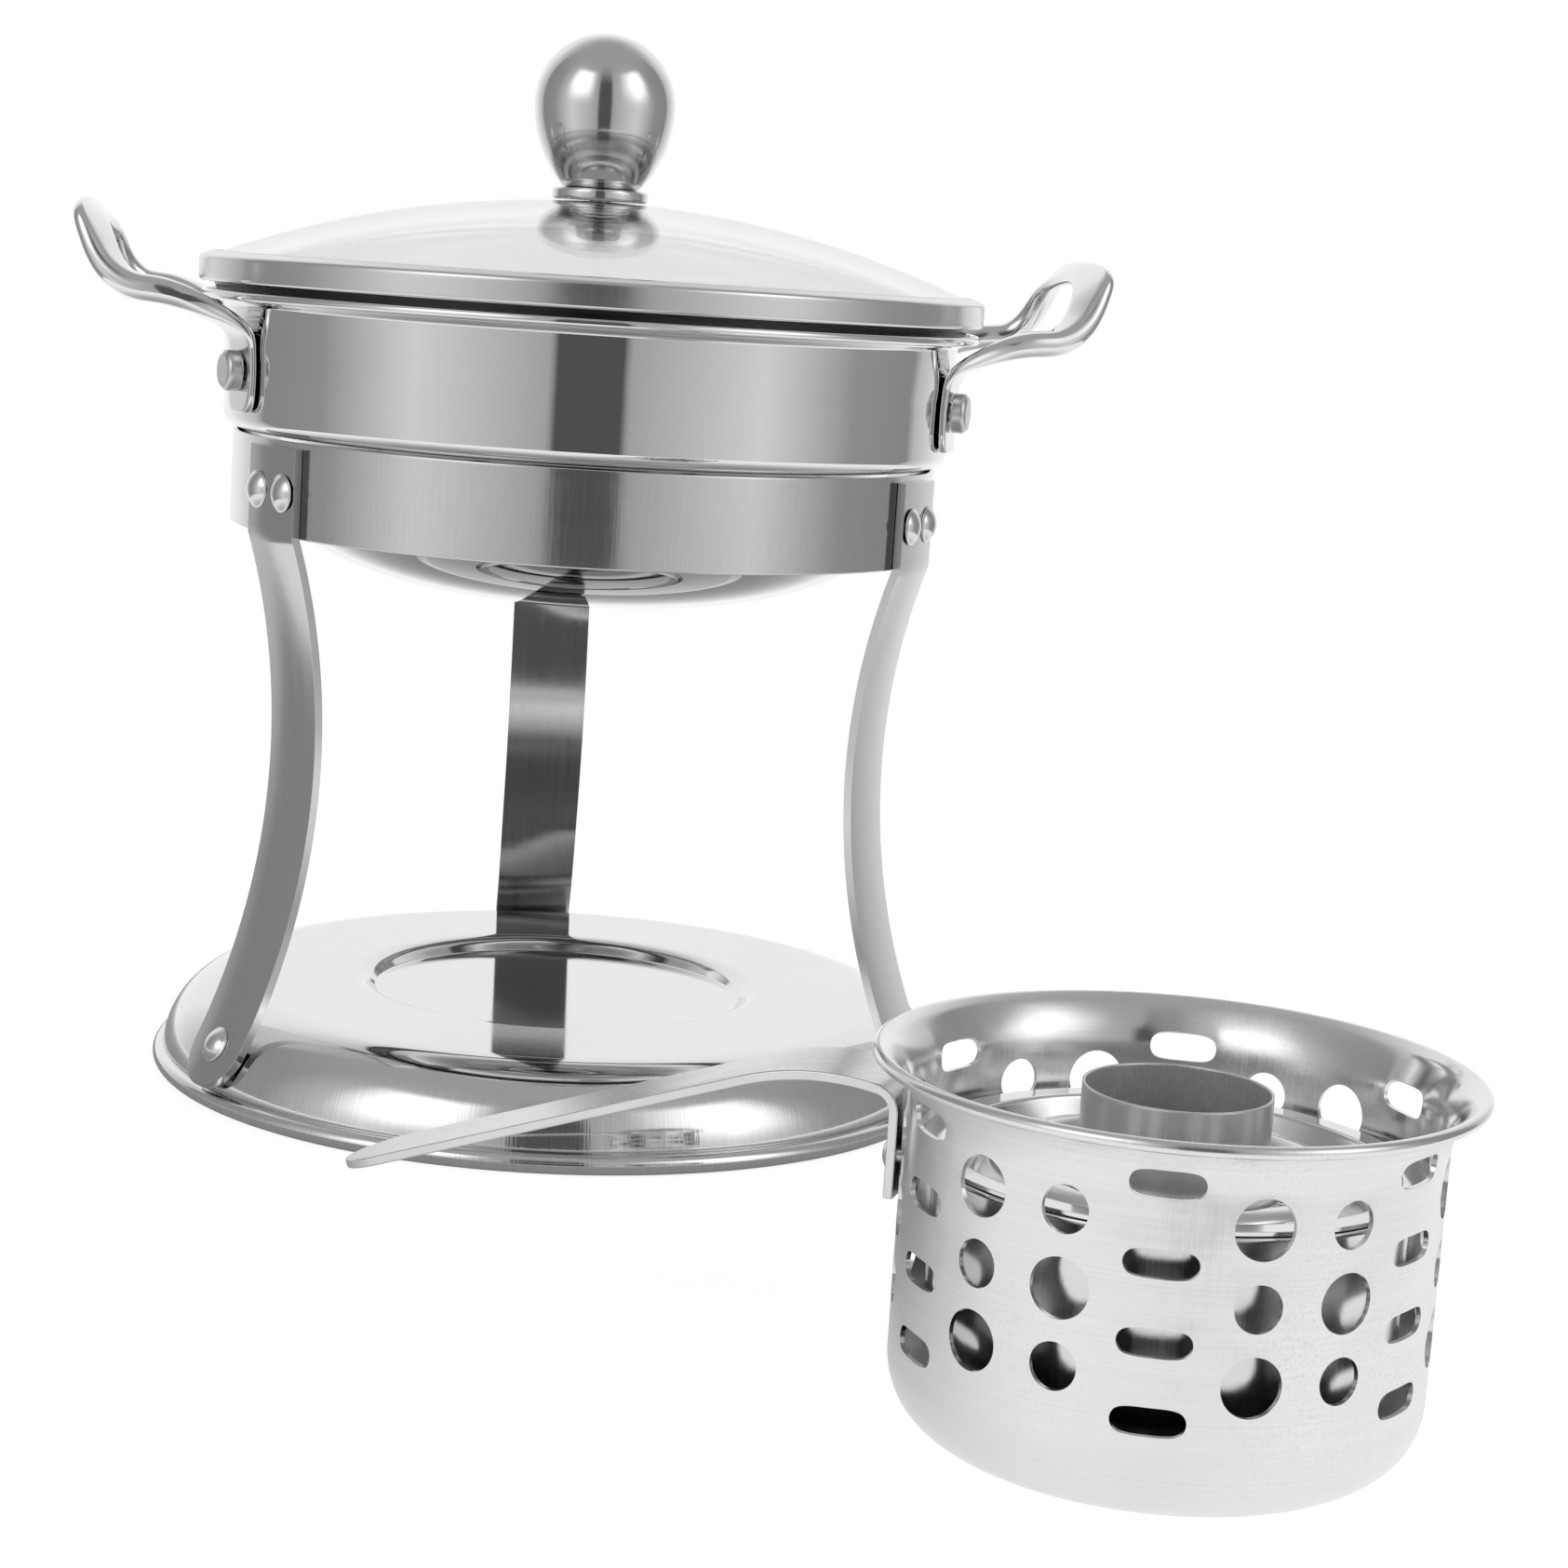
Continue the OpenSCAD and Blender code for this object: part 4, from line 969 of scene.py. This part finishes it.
cut = [f for f in head_shape.faces if all(in_slot_band(v) for v in f.verts)
       and abs(sum(slot_angle(v) for v in f.verts)) / 4 < slot_reach]
bmesh.ops.delete(head_shape, geom=cut, context="FACES")
for vert in head_shape.verts:
    if vert.is_boundary and in_slot_band(vert):
        turn = slot_angle(vert)
        out = hypot(vert.co.x, vert.co.y)
        straight = asin(slot_half * mm / out) * turn / slot_reach
        vert.co = Matrix.Rotation(straight - turn, 3, "Z") @ vert.co
bmesh.ops.recalc_face_normals(head_shape, faces=head_shape.faces)
if sum(f.normal.z for f in head_shape.faces) < 0:
    bmesh.ops.reverse_faces(head_shape, faces=head_shape.faces)
head_finish = spun_steel("half_bright_head", tone=0.74, gloss=0.13, ring_depth=1.2, smudge=1.1,
                         axis=burner_axis, lean=0.6, grain=0.16)
head_piece = finished("slotted_head", moved(head_shape, burner_place), head_finish, "flame_head", "cup_steel",
                      "burner_head")
thicken(head_piece, head_sheet)
soften(head_piece, 0.12)

# Chimney. A short tube of thin dull steel that leads the flame's draught, opened out at its foot,
# which lies on the head's floor round the hole.
tube_sheet = 0.5
tube_out, tube_high, foot_bend = 16.6, 63.1, 2.4
tube_foot = head_floor + fit + tube_sheet
foot_middle = (tube_out + foot_bend, tube_foot + foot_bend)
tube = Outline(tube_out + foot_bend, tube_foot)
tube.arc(*foot_middle, foot_bend, 270, 180, 10)
tube.lines((tube_out, tube_high), (tube_out - tube_sheet, tube_high))
tube.arc(*foot_middle, foot_bend + tube_sheet, 180, 270, 10)
tube.line(tube_out + foot_bend, tube_foot)
tube_finish = spun_steel("dull_tube", tone=0.62, gloss=0.34, ring_depth=1.0, smudge=1.0, axis=burner_axis,
                         lean=0.3, drawn=0.2, grain=0.1, bare=0.55)
finished("chimney_tube", moved(tube.lathe(128), burner_place), tube_finish, "flame_head", "dark_wire",
         "burner_chimney")

# Studio. A white table and backdrop, with soft light from large panels at both sides and darker gaps
# between them and behind the camera, which the polished steel shows as bands.
table_radius, table_middle = 0.45, (0.03, -0.1, 0)
table = bmesh.new()
bmesh.ops.create_circle(table, cap_ends=True, segments=96, radius=table_radius)
bmesh.ops.translate(table, vec=table_middle, verts=table.verts)
table_mesh = bpy.data.meshes.new("table")
table.to_mesh(table_mesh)
table.free()
table_top = bpy.data.objects.new("table", table_mesh)
bpy.context.collection.objects.link(table_top)
table_top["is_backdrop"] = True


def ray(shader, kind):
    """1 for rays of a kind, or for those that did something at least once, and 0 for others."""
    return shader.maths("MINIMUM", shader.node("LightPath", {}, {}, kind), 1.0)


def seen_straight(shader):
    """1 for the camera's own rays, also through glass, unless something mirrored them before."""
    through = ray(shader, "Is Transmission Ray") * (1 - ray(shader, "Glossy Depth"))
    return shader.maths("MINIMUM", ray(shader, "Is Camera Ray") + through, 1.0)


table_finish = bpy.data.materials.new("white_table")
paint = Shader(table_finish)
white_level, shaded_level, table_grey = 0.84, 0.14, 0.34
across, along = paint.parts(paint.place(), 2)
away = (across * across + along * along) ** 0.5
# In reflections the table glows at white_level far from the stand and falls to shaded_level near its axis: a
# painted shadow round the stand
painted_shadow_glow = paint.between(away, 0.1, 0.33, shaded_level, white_level, "SMOOTHSTEP")
through_mirrored = ray(paint, "Is Transmission Ray") * ray(paint, "Glossy Depth")
reflected = paint.maths("MINIMUM", ray(paint, "Is Glossy Ray") + through_mirrored, 1.0)
glow = seen_straight(paint) * white_level + reflected * painted_shadow_glow
lit = paint.node("BsdfDiffuse", {}, {"Color": (table_grey, table_grey, table_grey, 1)})
white = paint.node("Emission", {}, {"Color": (1, 1, 1, 1), "Strength": glow})
paint.finish(paint.node("AddShader", {}, {0: lit, 1: white}))
table_mesh.materials.append(table_finish)

# Brightness round the object by degrees away from the camera, the same on both sides: a dark gap round
# the camera, a large soft panel, a shaded corner, and the white backdrop
panels = [(0, 0.1), (10, 0.1), (12, 0.45), (55, 0.8), (90, 0.35), (120, 0.3), (125, 0.6), (150, 1), (180, 1)]
# Two tall lamps behind white cloth: how bright by direction, and by the sine of the height angle
lamps = [(-180, 0), (-70, 0), (-58, 0.6), (-45, 1), (-30, 0.8), (-18, 0), (25, 0), (42, 0.5), (58, 1),
         (70, 0.6), (80, 0), (180, 0)]
lamp_height = [(0, 0), (0.1, 0.15), (0.3, 0.7), (0.5, 1), (0.72, 0.9), (0.79, 0), (1, 0)]
lamp_level = 1.2
camera_aside = 5
overhead = 0.42
world = bpy.data.worlds.new("studio")
bpy.context.scene.world = world
studio = Shader(world)
east, north, high = studio.parts(studio.place("Generated"))
around = studio.maths("ARCTAN2", east, north * -1.0) + radians(camera_aside)
share = studio.maths("FRACT", around / (2 * pi) + 1.5)


def by_direction(levels):
    """A brightness that goes with the direction round the object."""
    return studio.node("ValToRGB", {"stops": [((a + 180) / 360, grey) for a, grey in levels]}, {"Fac": share})


def mixed(factor, first, second):
    """The first colour where the factor is 0, and the second where it is 1."""
    return studio.node("Mix", {"data_type": "RGBA"}, {0: factor, 6: first, 7: second}, 2)


wall_light = by_direction([(-a, grey) for a, grey in panels[:0:-1]] + panels)
above = studio.between(high, 0.5, 0.95, kind="SMOOTHSTEP")
room = mixed(above, wall_light, (overhead, overhead, overhead, 1))
by_height = studio.node("ValToRGB", {"stops": lamp_height}, {"Fac": high})
room = room + by_direction(lamps) * by_height * lamp_level
shown = mixed(seen_straight(studio), room, (1, 1, 1, 1))
light = studio.node("Background", {}, {"Color": shown, "Strength": 1.0})
studio.node("OutputWorld", {}, {"Surface": light})

# The camera, as fitted to the stand, the pot and the lid in the photo
camera_data = bpy.data.cameras.new("camera")
camera_data.sensor_width = 36
camera_data.lens = 71.966
camera_data.clip_start = 0.05
camera = bpy.data.objects.new("camera", camera_data)
right, upward, ahead = (Vector(v).normalized() for v in (
    (0.9873, -0.1453, 0.0650), (-0.0398, 0.1700, 0.9846), (0.1541, 0.9747, -0.1621)))
camera.matrix_world = (Matrix.Translation((-0.0661, -0.7560, 0.1983))
                       @ Matrix((right, upward, -ahead)).transposed().to_4x4())
bpy.context.collection.objects.link(camera)
bpy.context.scene.camera = camera
bpy.context.scene.view_settings.view_transform = "Standard"

low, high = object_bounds()
